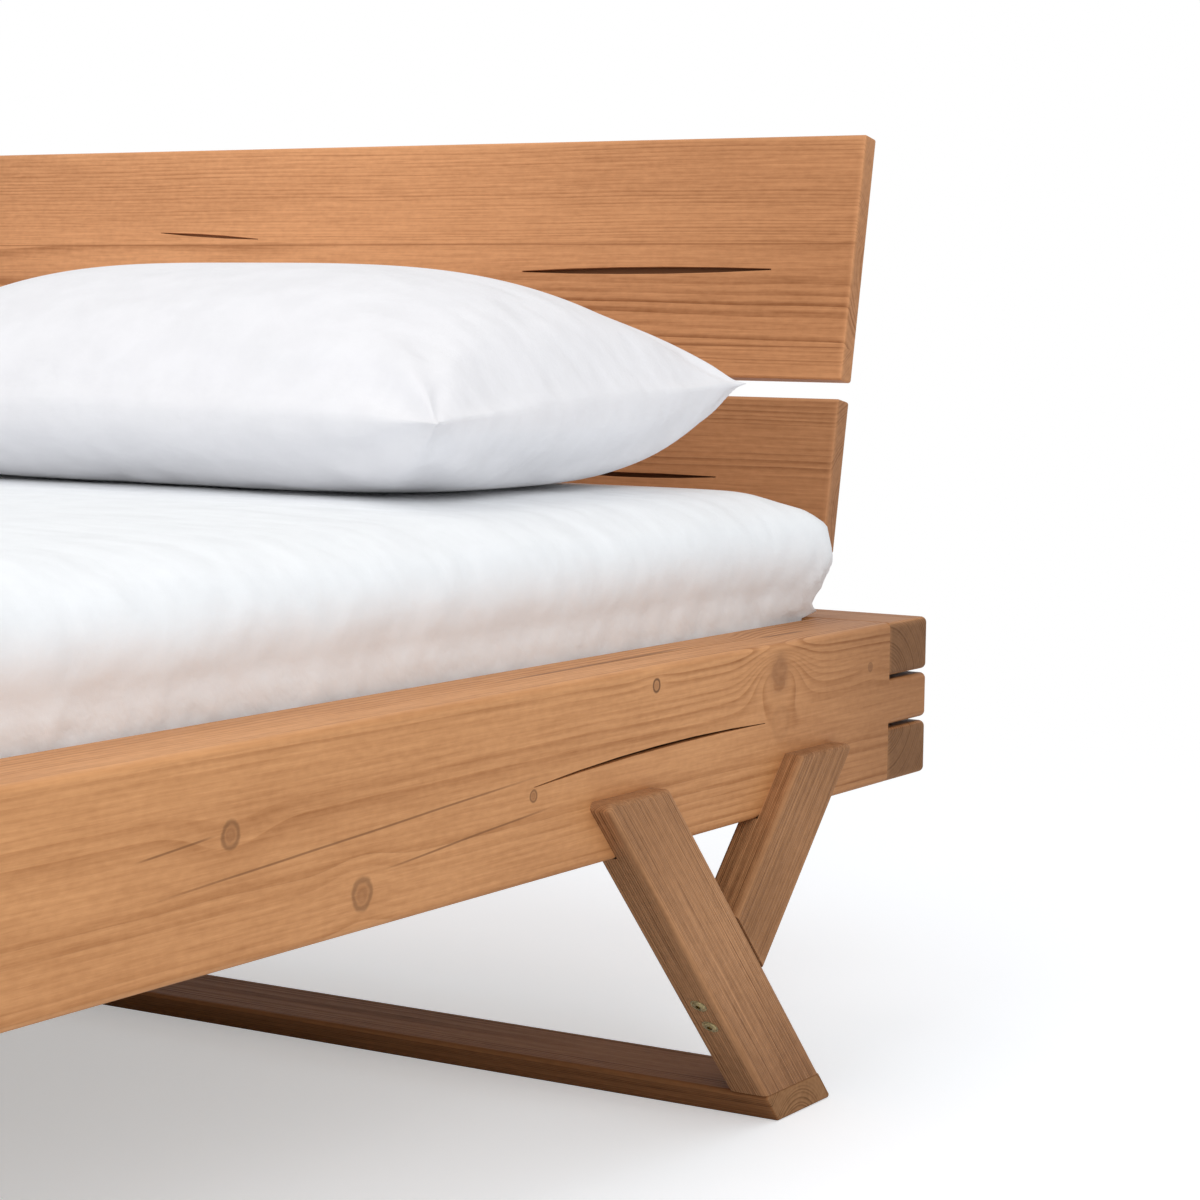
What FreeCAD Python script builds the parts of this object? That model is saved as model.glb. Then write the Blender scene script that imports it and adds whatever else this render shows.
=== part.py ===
import FreeCAD, Part
import math
import os
import re

import Sketcher

# A double bed of heavy squared timber. Lengths are millimetres, Z is up from the floor and the head is
# towards +Y. The origin is on the floor, under the middle of the whole bed with its leaning headboard.

# Driving dimensions, one cell of the sheet each. Angles are degrees.
SIZES = {
    # Frame of four beams, locked at the corners by fingers
    "mattress_width": 1800,
    "mattress_length": 2000,
    "mattress_gap": 5,
    "beam_thickness": 88,
    "beam_height": 160,
    "beam_clearance": 286,
    "beam_ease": 6,
    "finger_gap": 4,
    "beam_check_width": 3.4,
    "beam_check_depth": 14,
    "top_check_width": 1.5,
    "top_check_depth": 5,
    "corner_pin_diameter": 12,
    "corner_pin_length": 136,
    "corner_pin_cover": 4,
    # Leg frames: a skid across the bed, and at each end a long and a short strut in the shape of a Y
    "strut_angle": 47,
    "strut_width": 78,
    "strut_thickness": 40,
    "strut_ease": 5,
    "cheek_thickness": 20,
    "cheek_rise": 55,
    "skid_height": 29,
    "skid_ease": 3,
    "leg_setback": 236,
    "fork_height": 152,
    # Leaning headboard of two planks on two posts behind the head beam
    "headboard_lean": 10.5,
    "headboard_inset": 115,
    "headboard_lift": 57,
    "plank_thickness": 24,
    "upper_plank_height": 260,
    "lower_plank_height": 160,
    "plank_spacing": 20,
    "plank_ease": 3,
    "upper_check_width": 8,
    "upper_check_depth": 8,
    "middle_check_width": 4,
    "middle_check_depth": 6,
    "lower_check_width": 5.5,
    "lower_check_depth": 8,
    "post_spacing": 900,
    "post_thickness": 45,
    "post_depth": 70,
    "post_tip_depth": 36,
    "post_top_drop": 60,
    "post_foot_drop": 135,
    "post_ease": 4,
    # Bed base: ledgers, a centre beam on a leg and two rows of slats
    "mattress_recess": 75,
    "slat_thickness": 18,
    "slat_width": 70,
    "slat_pitch": 145,
    "slat_ease": 4,
    "slat_end_gap": 5,
    "slat_end_margin": 25,
    "row_spacing": 10,
    "ledger_width": 30,
    "ledger_height": 30,
    "ledger_end_gap": 40,
    "base_ease": 2,
    "centre_beam_width": 44,
    "centre_beam_height": 70,
    "centre_leg_width": 60,
    "hanger_sheet": 3,
    "hanger_depth": 50,
    "hanger_height": 55,
    "hanger_wing": 24,
    "hanger_fit": 0.3,
    # Fasteners
    "bore_fit": 0.2,
    "cut_overrun": 5,
    "strut_screw_diameter": 8,
    "strut_screw_grip": 45,
    "strut_screw_head": 16,
    "strut_screw_head_height": 3,
    "strut_screw_spacing": 32,
    "strut_screw_drop": 12,
    "leg_bolt_diameter": 8,
    "leg_bolt_head": 16,
    "leg_bolt_head_height": 6,
    "leg_bolt_cover": 6,
    "skid_screw_diameter": 6,
    "skid_screw_grip": 42,
    "skid_screw_head": 12,
    "skid_screw_head_height": 4,
    "skid_screw_sink": 1,
    "skid_screw_edge": 3,
    "skid_screw_spacing": 24,
    "post_bolt_diameter": 10,
    "post_bolt_head": 20,
    "post_bolt_head_height": 6,
    "post_bolt_inset": 42,
    "post_bolt_spacing": 60,
    "post_nut_width": 17,
    "post_nut_height": 8,
    "post_nut_pocket": 12,
    "plank_screw_diameter": 5,
    "plank_screw_grip": 16,
    "plank_screw_head": 10,
    "plank_screw_head_height": 3,
    "plank_screw_sink": 20,
    "plank_screw_inset": 40,
    "ledger_screw_diameter": 5,
    "ledger_screw_grip": 40,
    "ledger_screw_head": 10,
    "ledger_screw_head_height": 3,
    "ledger_screw_inset": 150,
    "ledger_screw_pitch": 600,
    "hanger_screw_diameter": 5,
    "hanger_screw_grip": 35,
    "hanger_screw_head": 10,
    "hanger_screw_head_height": 3,
    "hanger_screw_inset": 13,
    "slat_screw_diameter": 4,
    "slat_screw_grip": 16,
    "slat_screw_head": 8,
    "slat_screw_head_height": 2.5,
    "slat_screw_inset": 14,
    # Bedding
    "bedding_gap": 0.3,
    "mattress_height": 200,
    "mattress_corner": 34,
    "mattress_draw": 2,
    "mattress_bulge": 27,
    "mattress_edge": 30,
    "mattress_crown": 5,
    "mattress_crown_inset": 180,
    "pillow_width": 790,
    "pillow_depth": 540,
    "pillow_height": 225,
    "pillow_head_gap": 42,
    "pillow_middle": 455,
}

FINGERS = 3

# Drying checks in the timber: start and end as shares of a face's length and height, and how far the middle
# strays from the straight line between them as a share of the height
BEAM_CHECK_SHARES = (0.339, 0.494, 0.159, 0.550, 0.031)
TOP_CHECK_SHARES = (0.275, 0.568, 0.115, 0.420, 0.030)
UPPER_CHECK_SHARES = (0.532, 0.436, 0.890, 0.448, 0.0)
MIDDLE_CHECK_SHARES = (-0.068, 0.612, 0.102, 0.581, 0.0)
LOWER_CHECK_SHARES = (0.615, 0.444, 0.844, 0.453, -0.005)
# Width of a drying check at its ends, as a share of its width in the middle
CHECK_TIP_SHARE = 0.2
# Mattress outline above the beams: share of the height over the beams, share of the bulge at that height
MATTRESS_SIDE_SHARES = ((0.16, 0.2), (0.36, 0.8), (0.58, 1.0), (0.78, 0.7))
# Mattress top: share of the edge rounding drawn in, share of the edge rounding left below the top
MATTRESS_EDGE_SHARES = ((0.25, 0.45), (1.0, 0.12), (3.0, 0.0))
# Pillow: share of its height, share of its reach, and how far its sides bow out as a share of its depth
PILLOW_SHARES = (
    (0.00, 0.48, 0.060),
    (0.10, 0.68, 0.045),
    (0.27, 0.87, 0.015),
    (0.48, 1.00, -0.040),
    (0.68, 0.88, 0.012),
    (0.86, 0.68, 0.045),
    (0.97, 0.42, 0.060),
    (1.00, 0.20, 0.030),
)

doc = FreeCAD.newDocument("beam_bed")
sheet = doc.addObject("Spreadsheet::Sheet", "Sizes")
for row, (alias, amount) in enumerate(SIZES.items(), start=1):
    sheet.set("A%d" % row, str(amount))
    sheet.setAlias("A%d" % row, alias)
doc.recompute()

# Places worked out from the sizes, as expression text
LEAN_SINE = "sin(headboard_lean * 1 deg)"
LEAN_COSINE = "cos(headboard_lean * 1 deg)"
STRUT_SINE = "sin(strut_angle * 1 deg)"
STRUT_COSINE = "cos(strut_angle * 1 deg)"
STRUT_RISE = "tan(strut_angle * 1 deg)"
INNER_HALF_WIDTH = "(mattress_width / 2 + mattress_gap)"
HALF_WIDTH = "(mattress_width / 2 + mattress_gap + beam_thickness)"
FRAME_LENGTH = "(mattress_length + 2 * mattress_gap + 2 * beam_thickness)"
BEAM_TOP = "(beam_clearance + beam_height)"
BOARD_SPAN = "(headboard_lift / LEAN + lower_plank_height + plank_spacing + upper_plank_height)".replace(
    "LEAN", LEAN_COSINE)
POST_RISE = "(%s - post_top_drop)" % BOARD_SPAN
HEAD_REACH = "(%s * %s + post_tip_depth * %s)" % (POST_RISE, LEAN_SINE, LEAN_COSINE)
SLAT_TOP = "(%s - mattress_recess - bedding_gap)" % BEAM_TOP
LEDGER_TOP = "(%s - slat_thickness)" % SLAT_TOP
CENTRE_BEAM_FOOT = "(%s - centre_beam_height)" % LEDGER_TOP
STRUT_SPAN = "(strut_width / %s)" % STRUT_SINE
CHEEK_TOP = "(beam_clearance + cheek_rise)"
# Outer face of the frame at each end, and the way out of the bed there
FACES = {"head": "((FRAME - REACH) / 2)", "foot": "((0 - FRAME - REACH) / 2)"}
FACES = {end: text.replace("FRAME", FRAME_LENGTH).replace("REACH", HEAD_REACH) for end, text in FACES.items()}
OUTWARD = {"head": 1, "foot": -1}
MIDDLE = "(0 - %s / 2)" % HEAD_REACH
SIDES = {"right": 1, "left": -1}

parts = {}


def bound(text):
    """Expression text with each size read from its cell."""
    return re.sub(r"[a-z]+(?:_[a-z]+)+", lambda found: "Sizes." + found.group(0), text)


def number(text):
    """Present value of an expression."""
    result = sheet.evalExpression(bound(text))
    return float(getattr(result, "Value", result))


def inside(end, distance):
    """Place along the bed at a distance inwards from the outer face of one end."""
    return "(%s - %d * (%s))" % (FACES[end], OUTWARD[end], distance)


def add_body(name):
    body = doc.addObject("PartDesign::Body", name)
    body.Label = name
    return body


def polygon(body, role, level, corners):
    """Straight-sided outline on one of the body's origin planes, each corner bound to the sizes."""
    plane = [feature for feature in body.Origin.OriginFeatures if feature.Role == role][0]
    sketch = body.newObject("Sketcher::SketchObject", body.Name + "_outline")
    sketch.AttachmentSupport = [(plane, "")]
    sketch.MapMode = "FlatFace"
    sketch.setExpression("AttachmentOffset.Base.z", bound(level))
    count = len(corners)
    turn = 2 * math.pi / count
    unit = [FreeCAD.Vector(math.cos(turn * index), math.sin(turn * index), 0) for index in range(count)]
    for index in range(count):
        sketch.addGeometry(Part.LineSegment(unit[index], unit[(index + 1) % count]))
    for index in range(count):
        sketch.addConstraint(Sketcher.Constraint("Coincident", index, 2, (index + 1) % count, 1))
    for index, corner in enumerate(corners):
        for kind, text, start in zip(("DistanceX", "DistanceY"), corner, unit[index]):
            place = sketch.addConstraint(Sketcher.Constraint(kind, -1, 1, index, 1, start))
            sketch.setExpression("Constraints[%d]" % place, bound(text))
    return sketch


def pad(body, sketch, length, backwards=False):
    feature = body.newObject("PartDesign::Pad", body.Name + "_pad")
    feature.Profile = sketch
    feature.setExpression("Length", bound(length))
    feature.Reversed = backwards
    doc.recompute()
    return feature


def ease(body, feature, radius, wanted):
    """Round the edges of a feature that a test picks by their middle and direction."""
    names = []
    for index, edge in enumerate(feature.Shape.Edges, start=1):
        first, last = edge.Vertexes[0].Point, edge.Vertexes[-1].Point
        if wanted((first + last) / 2, (last - first).normalize()):
            names.append("Edge%d" % index)
    fillet = body.newObject("PartDesign::Fillet", body.Name + "_ease")
    fillet.Base = (feature, names)
    fillet.setExpression("Radius", bound(radius))
    doc.recompute()
    return fillet


def along(direction, axis):
    """True where an edge runs along the X, Y or Z axis, numbered 0 to 2."""
    return abs(direction[axis]) > 1 - Part.Precision.confusion() ** 0.5


def same(one, other):
    return abs(one - other) < Part.Precision.confusion() * number("beam_thickness") ** 2


def block(name, role, level, corners, length, radius, axis):
    """Prism with its long edges eased."""
    body = add_body(name)
    feature = pad(body, polygon(body, role, level, corners), length)
    ease(body, feature, radius, lambda middle, direction: along(direction, axis))
    return body


def rectangle(low, high):
    return [(low[0], low[1]), (high[0], low[1]), (high[0], high[1]), (low[0], high[1])]


def feature_of(name, shape):
    """Document object that holds a ready shape."""
    holder = doc.addObject("Part::Feature", name)
    holder.Label = name
    holder.Shape = shape
    holder.Placement = FreeCAD.Placement()
    return holder


def drilled(name, body, cutters):
    """Piece with its bores cut out."""
    body.Label = name + "_blank"
    tool = feature_of(name + "_bores", Part.makeCompound(cutters))
    cut = doc.addObject("Part::Cut", name)
    cut.Label = name
    cut.Base = body
    cut.Tool = tool
    doc.recompute()
    if cut.Shape.Volume >= body.Shape.Volume:
        raise ValueError("the bores miss " + name)
    return cut


def drying_check(size, shares, corner, run, rise, out):
    """Shallow lens-shaped crack in a face that has this corner, run and rise, to cut inwards."""
    begin, low, end, high, bow = shares
    start = corner + run * begin + rise * low
    finish = corner + run * end + rise * high
    middle = (start + finish) / 2 + rise * bow
    spread = FreeCAD.Vector(rise).normalize() * number(size + "_width / 2")
    tip = spread * CHECK_TIP_SHARE
    edges = (Part.Arc(start + tip, middle + spread, finish + tip),
             Part.LineSegment(finish + tip, finish - tip),
             Part.Arc(finish - tip, middle - spread, start - tip),
             Part.LineSegment(start - tip, start + tip))
    lens = Part.Face(Part.Wire([edge.toShape() for edge in edges]))
    lens.translate(out * number("cut_overrun"))
    return lens.extrude(out * -number("cut_overrun + %s_depth" % size))


def beam_checks(side):
    """The long check in the outer face of a side beam, and the fine one in its top."""
    outer = "%d * %s" % (SIDES[side], HALF_WIDTH)
    run = point("0", "0 - %s" % FRAME_LENGTH, "0")
    foot, top = point(outer, FACES["head"], "beam_clearance"), point(outer, FACES["head"], BEAM_TOP)
    outwards, upwards = FreeCAD.Vector(SIDES[side], 0, 0), FreeCAD.Vector(0, 0, 1)
    height, thickness = upwards * number("beam_height"), outwards * number("beam_thickness")
    face_check = drying_check("beam_check", BEAM_CHECK_SHARES, foot, run, height, outwards)
    top_check = drying_check("top_check", TOP_CHECK_SHARES, top, run, -thickness, upwards)
    return [face_check, top_check]


def plank_check(size, shares, foot, height):
    """A check in the front face of a leaning plank, counted from the middle of its lower edge."""
    corner = point("0", *board_point(foot, "0 - plank_thickness"))
    run = point("%s - headboard_inset" % HALF_WIDTH, "0", "0")
    rise = point("0", "%s * %s" % (height, LEAN_SINE), "%s * %s" % (height, LEAN_COSINE))
    out = FreeCAD.Vector(0, -number(LEAN_COSINE), number(LEAN_SINE))
    return drying_check(size, shares, corner, run, rise, out)


def rod(radius, start, length, at, direction):
    """Cylinder along a direction, from a distance along it."""
    return Part.makeCylinder(radius, length, at + direction * start, direction)


def screw(size, at, direction, reach):
    """Screw with its head's seat at a point, and its shank along the direction."""
    shank = rod(number(size + "_diameter / 2"), 0, reach, at, direction)
    height = number(size + "_head_height")
    head = rod(number(size + "_head / 2"), -height, height, at, direction)
    return head.fuse(shank).removeSplitter()


def screw_bore(size, at, direction, reach, sink):
    """Clearance for such a screw, with room for its head to a depth behind its seat."""
    fit = number("bore_fit")
    shank = rod(number(size + "_diameter / 2") + fit, 0, reach + fit, at, direction)
    head = rod(number(size + "_head / 2") + fit, -sink, sink, at, direction)
    return head.fuse(shank)


def group(name, solids):
    parts[name] = feature_of(name, Part.makeCompound(solids))


def point(x, y, z):
    return FreeCAD.Vector(number(x), number(y), number(z))


# Fastener places: seat, direction and reach of each

def corner_pin_places():
    """Foot of the upright pin through the fingers of each corner."""
    places = {}
    for end in FACES:
        for side, sign in SIDES.items():
            x = "%d * (%s - beam_thickness / 2)" % (sign, HALF_WIDTH)
            y = inside(end, "beam_thickness / 2")
            places[end, side] = point(x, y, "beam_clearance + corner_pin_cover")
    return places


def strut_edge(height):
    """Setback of the long strut's upper edge at a height."""
    return "(leg_setback + (%s) / %s)" % (height, STRUT_RISE)


def fork_edge(height):
    """Setback of the short strut's outer edge at a height."""
    return "(%s - ((%s) - fork_height) / %s)" % (strut_edge("fork_height"), height, STRUT_RISE)


def strut_middle(sign):
    return "%d * (%s + cheek_thickness - strut_thickness / 2)" % (sign, HALF_WIDTH)


def strut_screw_places(end, side):
    """Two screws square through the long strut into the end of the short one."""
    sine, cosine = number(STRUT_SINE), number(STRUT_COSINE)
    way = FreeCAD.Vector(0, OUTWARD[end] * sine, cosine)
    up = FreeCAD.Vector(0, -OUTWARD[end] * cosine, sine)
    height = "fork_height + strut_width / (4 * %s)" % STRUT_COSINE
    middle = point(strut_middle(SIDES[side]), inside(end, strut_edge(height)), height)
    seat = middle - way * number("strut_width - strut_screw_head_height")
    shifts = (number("0 - strut_screw_drop + strut_screw_spacing / 2"),
              number("0 - strut_screw_drop - strut_screw_spacing / 2"))
    reach = number("strut_width - strut_screw_head_height + strut_screw_grip")
    return [(seat + up * shift, way, reach) for shift in shifts]


def leg_bolt_place(end, side, edge):
    """Bolt from inside the side beam into the cheek of a strut."""
    height = "beam_clearance + cheek_rise / 2"
    sign = SIDES[side]
    seat = point("%d * (%s + leg_bolt_head_height)" % (sign, INNER_HALF_WIDTH),
                 inside(end, "%s + %s / 2" % (edge(height), STRUT_SPAN)), height)
    reach = number("beam_thickness - leg_bolt_head_height + cheek_thickness - leg_bolt_cover")
    return seat, FreeCAD.Vector(sign, 0, 0), reach


def skid_screw_places(end, side):
    """Screws up through the skid into the foot of the long strut."""
    places = []
    first = "%s + skid_screw_diameter / 2 + skid_screw_edge" % strut_edge("skid_height + skid_screw_grip")
    x = strut_middle(SIDES[side])
    for step in ("0", "skid_screw_spacing"):
        seat = point(x, inside(end, "%s + %s" % (first, step)), "skid_screw_head_height + skid_screw_sink")
        reach = number("skid_height - skid_screw_head_height - skid_screw_sink + skid_screw_grip")
        places.append((seat, FreeCAD.Vector(0, 0, 1), reach))
    return places


def board_point(rise, behind):
    """Setback from the head face and height of a place on the leaning board, behind its rear plane."""
    setback = "(0 - (%s) * %s - (%s) * %s)" % (rise, LEAN_SINE, behind, LEAN_COSINE)
    height = "(%s + (%s) * %s - (%s) * %s)" % (BEAM_TOP, rise, LEAN_COSINE, behind, LEAN_SINE)
    return inside("head", setback), height


LOWER_PLANK_FOOT = "(headboard_lift / %s)" % LEAN_COSINE
LOWER_PLANK_TOP = "(%s + lower_plank_height)" % LOWER_PLANK_FOOT
UPPER_PLANK_FOOT = "(%s + plank_spacing)" % LOWER_PLANK_TOP
POST_MIDDLE = "%d * post_spacing / 2"


def post_bolt_places(side):
    """Bolts through a post and the head beam, with their heads behind the post."""
    x = POST_MIDDLE % SIDES[side]
    way = FreeCAD.Vector(0, -1, 0)
    reach = number("post_depth + beam_thickness - post_nut_pocket + post_nut_height")
    places = []
    for step in ("0", "post_bolt_spacing"):
        height = "beam_clearance + post_bolt_inset + %s" % step
        places.append((point(x, inside("head", "0 - post_depth"), height), way, reach))
    return places


def post_back(rise):
    """Depth of the tapering post behind the boards at a rise above the beam."""
    return "(post_depth + (post_tip_depth - post_depth) * (%s) / %s)" % (rise, POST_RISE)


def plank_screw_places(side):
    """Screws from sunk holes in the back of a post into both planks."""
    rises = ("%s + plank_screw_inset" % LOWER_PLANK_FOOT, "%s - plank_screw_inset" % LOWER_PLANK_TOP,
             "%s + plank_screw_inset" % UPPER_PLANK_FOOT, "%s - plank_screw_inset" % POST_RISE)
    way = FreeCAD.Vector(0, -number(LEAN_COSINE), number(LEAN_SINE))
    places = []
    for rise in rises:
        behind = "%s - plank_screw_sink" % post_back(rise)
        y, z = board_point(rise, behind)
        places.append((point(POST_MIDDLE % SIDES[side], y, z), way, number("%s + plank_screw_grip" % behind)))
    return places


def steps(run, pitch):
    """How many equal steps, none longer than the pitch, make up a run."""
    return math.ceil(number("(%s) / %s" % (run, pitch)))


def ledger_screw_places(side):
    """Screws through a ledger into its side beam, evenly spaced."""
    sign = SIDES[side]
    run = "(%s - 2 * beam_thickness - 2 * ledger_end_gap - 2 * ledger_screw_inset)" % FRAME_LENGTH
    count = steps(run, "ledger_screw_pitch")
    places = []
    for index in range(count + 1):
        setback = "beam_thickness + ledger_end_gap + ledger_screw_inset + %s * %d / %d" % (run, index, count)
        seat = point("%d * (%s - ledger_width + ledger_screw_head_height)" % (sign, INNER_HALF_WIDTH),
                     inside("head", setback), "%s - ledger_height / 2" % LEDGER_TOP)
        places.append((seat, FreeCAD.Vector(sign, 0, 0),
                       number("ledger_width - ledger_screw_head_height + ledger_screw_grip")))
    return places


def hanger_screw_places(end):
    """Screws through the wings of a hanger into the end beam."""
    places = []
    way = FreeCAD.Vector(0, OUTWARD[end], 0)
    foot = "%s - hanger_sheet" % CENTRE_BEAM_FOOT
    for sign in SIDES.values():
        x = "%d * (centre_beam_width / 2 + hanger_fit + hanger_sheet + hanger_wing / 2)" % sign
        for rise in ("hanger_screw_inset", "hanger_height - hanger_screw_inset"):
            seat = point(x, inside(end, hanger_inset()), "%s + %s" % (foot, rise))
            places.append((seat, way, number("hanger_sheet + hanger_screw_grip")))
    return places


def slat_screw_places(side):
    """Screws that hold the first and last slat of a row to its ledger and to the centre beam."""
    sign = SIDES[side]
    places = []
    for end in FACES:
        y = inside(end, "beam_thickness + mattress_gap + slat_end_margin + slat_width / 2")
        for x in ("%s - slat_end_gap - slat_screw_inset" % INNER_HALF_WIDTH,
                  "row_spacing / 2 + (centre_beam_width - row_spacing) / 4"):
            seat = point("%d * (%s)" % (sign, x), y, "%s - slat_screw_head_height" % SLAT_TOP)
            places.append((seat, FreeCAD.Vector(0, 0, -1),
                           number("slat_thickness - slat_screw_head_height + slat_screw_grip")))
    return places


def bores(size, places, sink):
    return [screw_bore(size, seat, way, reach, number(sink)) for seat, way, reach in places]


def screws(size, places):
    return [screw(size, seat, way, reach) for seat, way, reach in places]


def pin_bore(place):
    """Blind bore for a corner pin, open under the beam."""
    depth = number("corner_pin_cover + cut_overrun")
    length = number("corner_pin_length + bore_fit") + depth
    return rod(number("corner_pin_diameter / 2 + bore_fit"), -depth, length, place, FreeCAD.Vector(0, 0, 1))


# Frame beams

def finger_level(index):
    return "(beam_clearance + beam_height * %d / %d)" % (index, FINGERS)


def side_beam(side):
    """Long beam whose middle finger shows on the end faces of the frame."""
    sign = SIDES[side]
    levels = [finger_level(index) for index in range(FINGERS + 1)]
    head, foot = FACES["head"], FACES["foot"]
    head_shoulder, foot_shoulder = inside("head", "beam_thickness"), inside("foot", "beam_thickness")
    # The finger is loose between its neighbours, so a dark gap shows above and below it.
    finger_foot, finger_top = levels[1] + " + finger_gap", levels[2] + " - finger_gap"
    corners = [
        (foot_shoulder, levels[0]), (head_shoulder, levels[0]),
        (head_shoulder, finger_foot), (head, finger_foot), (head, finger_top), (head_shoulder, finger_top),
        (head_shoulder, levels[3]), (foot_shoulder, levels[3]),
        (foot_shoulder, finger_top), (foot, finger_top), (foot, finger_foot), (foot_shoulder, finger_foot),
    ]
    body = add_body("side_beam_" + side)
    feature = pad(body, polygon(body, "YZ_Plane", "%d * %s" % (sign, INNER_HALF_WIDTH), corners),
                  "beam_thickness", sign < 0)
    low, high, inner = number(levels[0]), number(levels[3]), number("%d * %s" % (sign, INNER_HALF_WIDTH))
    outer = number("%d * %s" % (sign, HALF_WIDTH))
    ends = (number(head), number(foot))

    def wanted(middle, direction):
        if along(direction, 1):
            return same(middle.z, low) or same(middle.z, high) or same(middle.x, outer)
        at_end = any(same(middle.y, place) for place in ends)
        return at_end and not (along(direction, 2) and same(middle.x, inner))

    ease(body, feature, "beam_ease", wanted)
    cutters = [pin_bore(place) for (end, pin_side), place in corner_pin_places().items() if pin_side == side]
    bolts = [leg_bolt_place(end, side, edge) for end in FACES for edge in (strut_edge, fork_edge)]
    cutters += bores("leg_bolt", bolts, "leg_bolt_head_height + cut_overrun")
    cutters += bores("ledger_screw", ledger_screw_places(side), "ledger_screw_head_height")
    if side == "right":
        cutters += beam_checks(side)
    parts["side_beam_" + side] = drilled("side_beam_" + side, body, cutters)


def end_beam(end):
    """Cross beam whose top and bottom fingers show their end grain on the sides of the frame."""
    levels = [finger_level(index) for index in range(FINGERS + 1)]
    right, left = HALF_WIDTH, "(0 - %s)" % HALF_WIDTH
    right_shoulder, left_shoulder = INNER_HALF_WIDTH, "(0 - %s)" % INNER_HALF_WIDTH
    corners = [
        (left, levels[0]), (right, levels[0]), (right, levels[1]), (right_shoulder, levels[1]),
        (right_shoulder, levels[2]), (right, levels[2]), (right, levels[3]), (left, levels[3]),
        (left, levels[2]), (left_shoulder, levels[2]), (left_shoulder, levels[1]), (left, levels[1]),
    ]
    body = add_body(end + "_beam")
    # The upright plane across the bed faces -Y, so its levels count that way.
    feature = pad(body, polygon(body, "XZ_Plane", "0 - %s" % FACES[end], corners), "beam_thickness",
                  OUTWARD[end] < 0)
    low, high, inner = number(levels[0]), number(levels[3]), number(inside(end, "beam_thickness"))
    outer = number(FACES[end])
    ends = (number(right), number(left))

    def wanted(middle, direction):
        if along(direction, 0):
            return same(middle.z, low) or same(middle.z, high) or same(middle.y, outer)
        at_end = any(same(middle.x, place) for place in ends)
        return at_end and not (along(direction, 2) and same(middle.y, inner))

    ease(body, feature, "beam_ease", wanted)
    cutters = [pin_bore(place) for (pin_end, side), place in corner_pin_places().items() if pin_end == end]
    cutters += bores("hanger_screw", hanger_screw_places(end), "hanger_screw_head_height")
    if end == "head":
        for side in SIDES:
            for seat, way, reach in post_bolt_places(side):
                cutters.append(rod(number("post_bolt_diameter / 2 + bore_fit"), 0, reach, seat, way))
                pocket = number("post_depth + beam_thickness - post_nut_pocket")
                cutters.append(rod(number("post_nut_width / sqrt(3) + 2 * bore_fit"), pocket,
                                   number("post_nut_pocket + cut_overrun"), seat, way))
    parts[end + "_beam"] = drilled(end + "_beam", body, cutters)


# Leg frames

def strut(name, end, side, outline, cutters):
    """Strut notched over the beam: a thin cheek runs up outside it and the rest stops under it."""
    sign = SIDES[side]
    face = "%d * %s" % (sign, HALF_WIDTH)
    body = add_body(name)
    pad(body, polygon(body, "YZ_Plane", face, outline(end, CHEEK_TOP)), "cheek_thickness", sign < 0)
    feature = pad(body, polygon(body, "YZ_Plane", face, outline(end, "beam_clearance")),
                  "strut_thickness - cheek_thickness", sign > 0)
    notch_x, notch_z = number(face), number("beam_clearance")
    foot = number("skid_height")

    def wanted(middle, direction):
        in_notch = same(middle.z, notch_z) or (same(middle.x, notch_x) and middle.z > notch_z)
        if along(direction, 0) or same(middle.z, foot):
            return middle.z > notch_z and not in_notch
        slanted = not along(direction, 1) and same(abs(direction.y), number(STRUT_COSINE))
        return not in_notch and (slanted or middle.z > notch_z) and lies_on_rail(middle, direction, end, name)

    ease(body, feature, "strut_ease", wanted)
    parts[name] = drilled(name, body, cutters)


def lies_on_rail(middle, direction, end, name):
    """False for the sloping edges of the short strut's butt end, which stays sharp against the long strut."""
    if "short" not in name or along(direction, 1):
        return True
    return direction.y * direction.z * OUTWARD[end] > 0


def long_outline(end, top):
    foot, head = strut_edge("skid_height"), strut_edge(top)
    return [(inside(end, foot), "skid_height"), (inside(end, head), top),
            (inside(end, "%s + %s" % (head, STRUT_SPAN)), top),
            (inside(end, "%s + %s" % (foot, STRUT_SPAN)), "skid_height")]


def short_outline(end, top):
    butt = "(fork_height + strut_width / (2 * %s))" % STRUT_COSINE
    return [(inside(end, strut_edge("fork_height")), "fork_height"), (inside(end, fork_edge(top)), top),
            (inside(end, "%s + %s" % (fork_edge(top), STRUT_SPAN)), top),
            (inside(end, strut_edge(butt)), butt)]


def leg(end, side):
    """Long strut on the skid, with the short strut butted against its upper face."""
    fork_screws = bores("strut_screw", strut_screw_places(end, side),
                        "strut_screw_head_height + cut_overrun")
    skid_screws = bores("skid_screw", skid_screw_places(end, side), "skid_screw_head_height")
    long_bolt = bores("leg_bolt", [leg_bolt_place(end, side, strut_edge)], "leg_bolt_head_height")
    short_bolt = bores("leg_bolt", [leg_bolt_place(end, side, fork_edge)], "leg_bolt_head_height")
    strut("%s_long_strut_%s" % (end, side), end, side, long_outline, fork_screws + skid_screws + long_bolt)
    strut("%s_short_strut_%s" % (end, side), end, side, short_outline, fork_screws + short_bolt)


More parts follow.
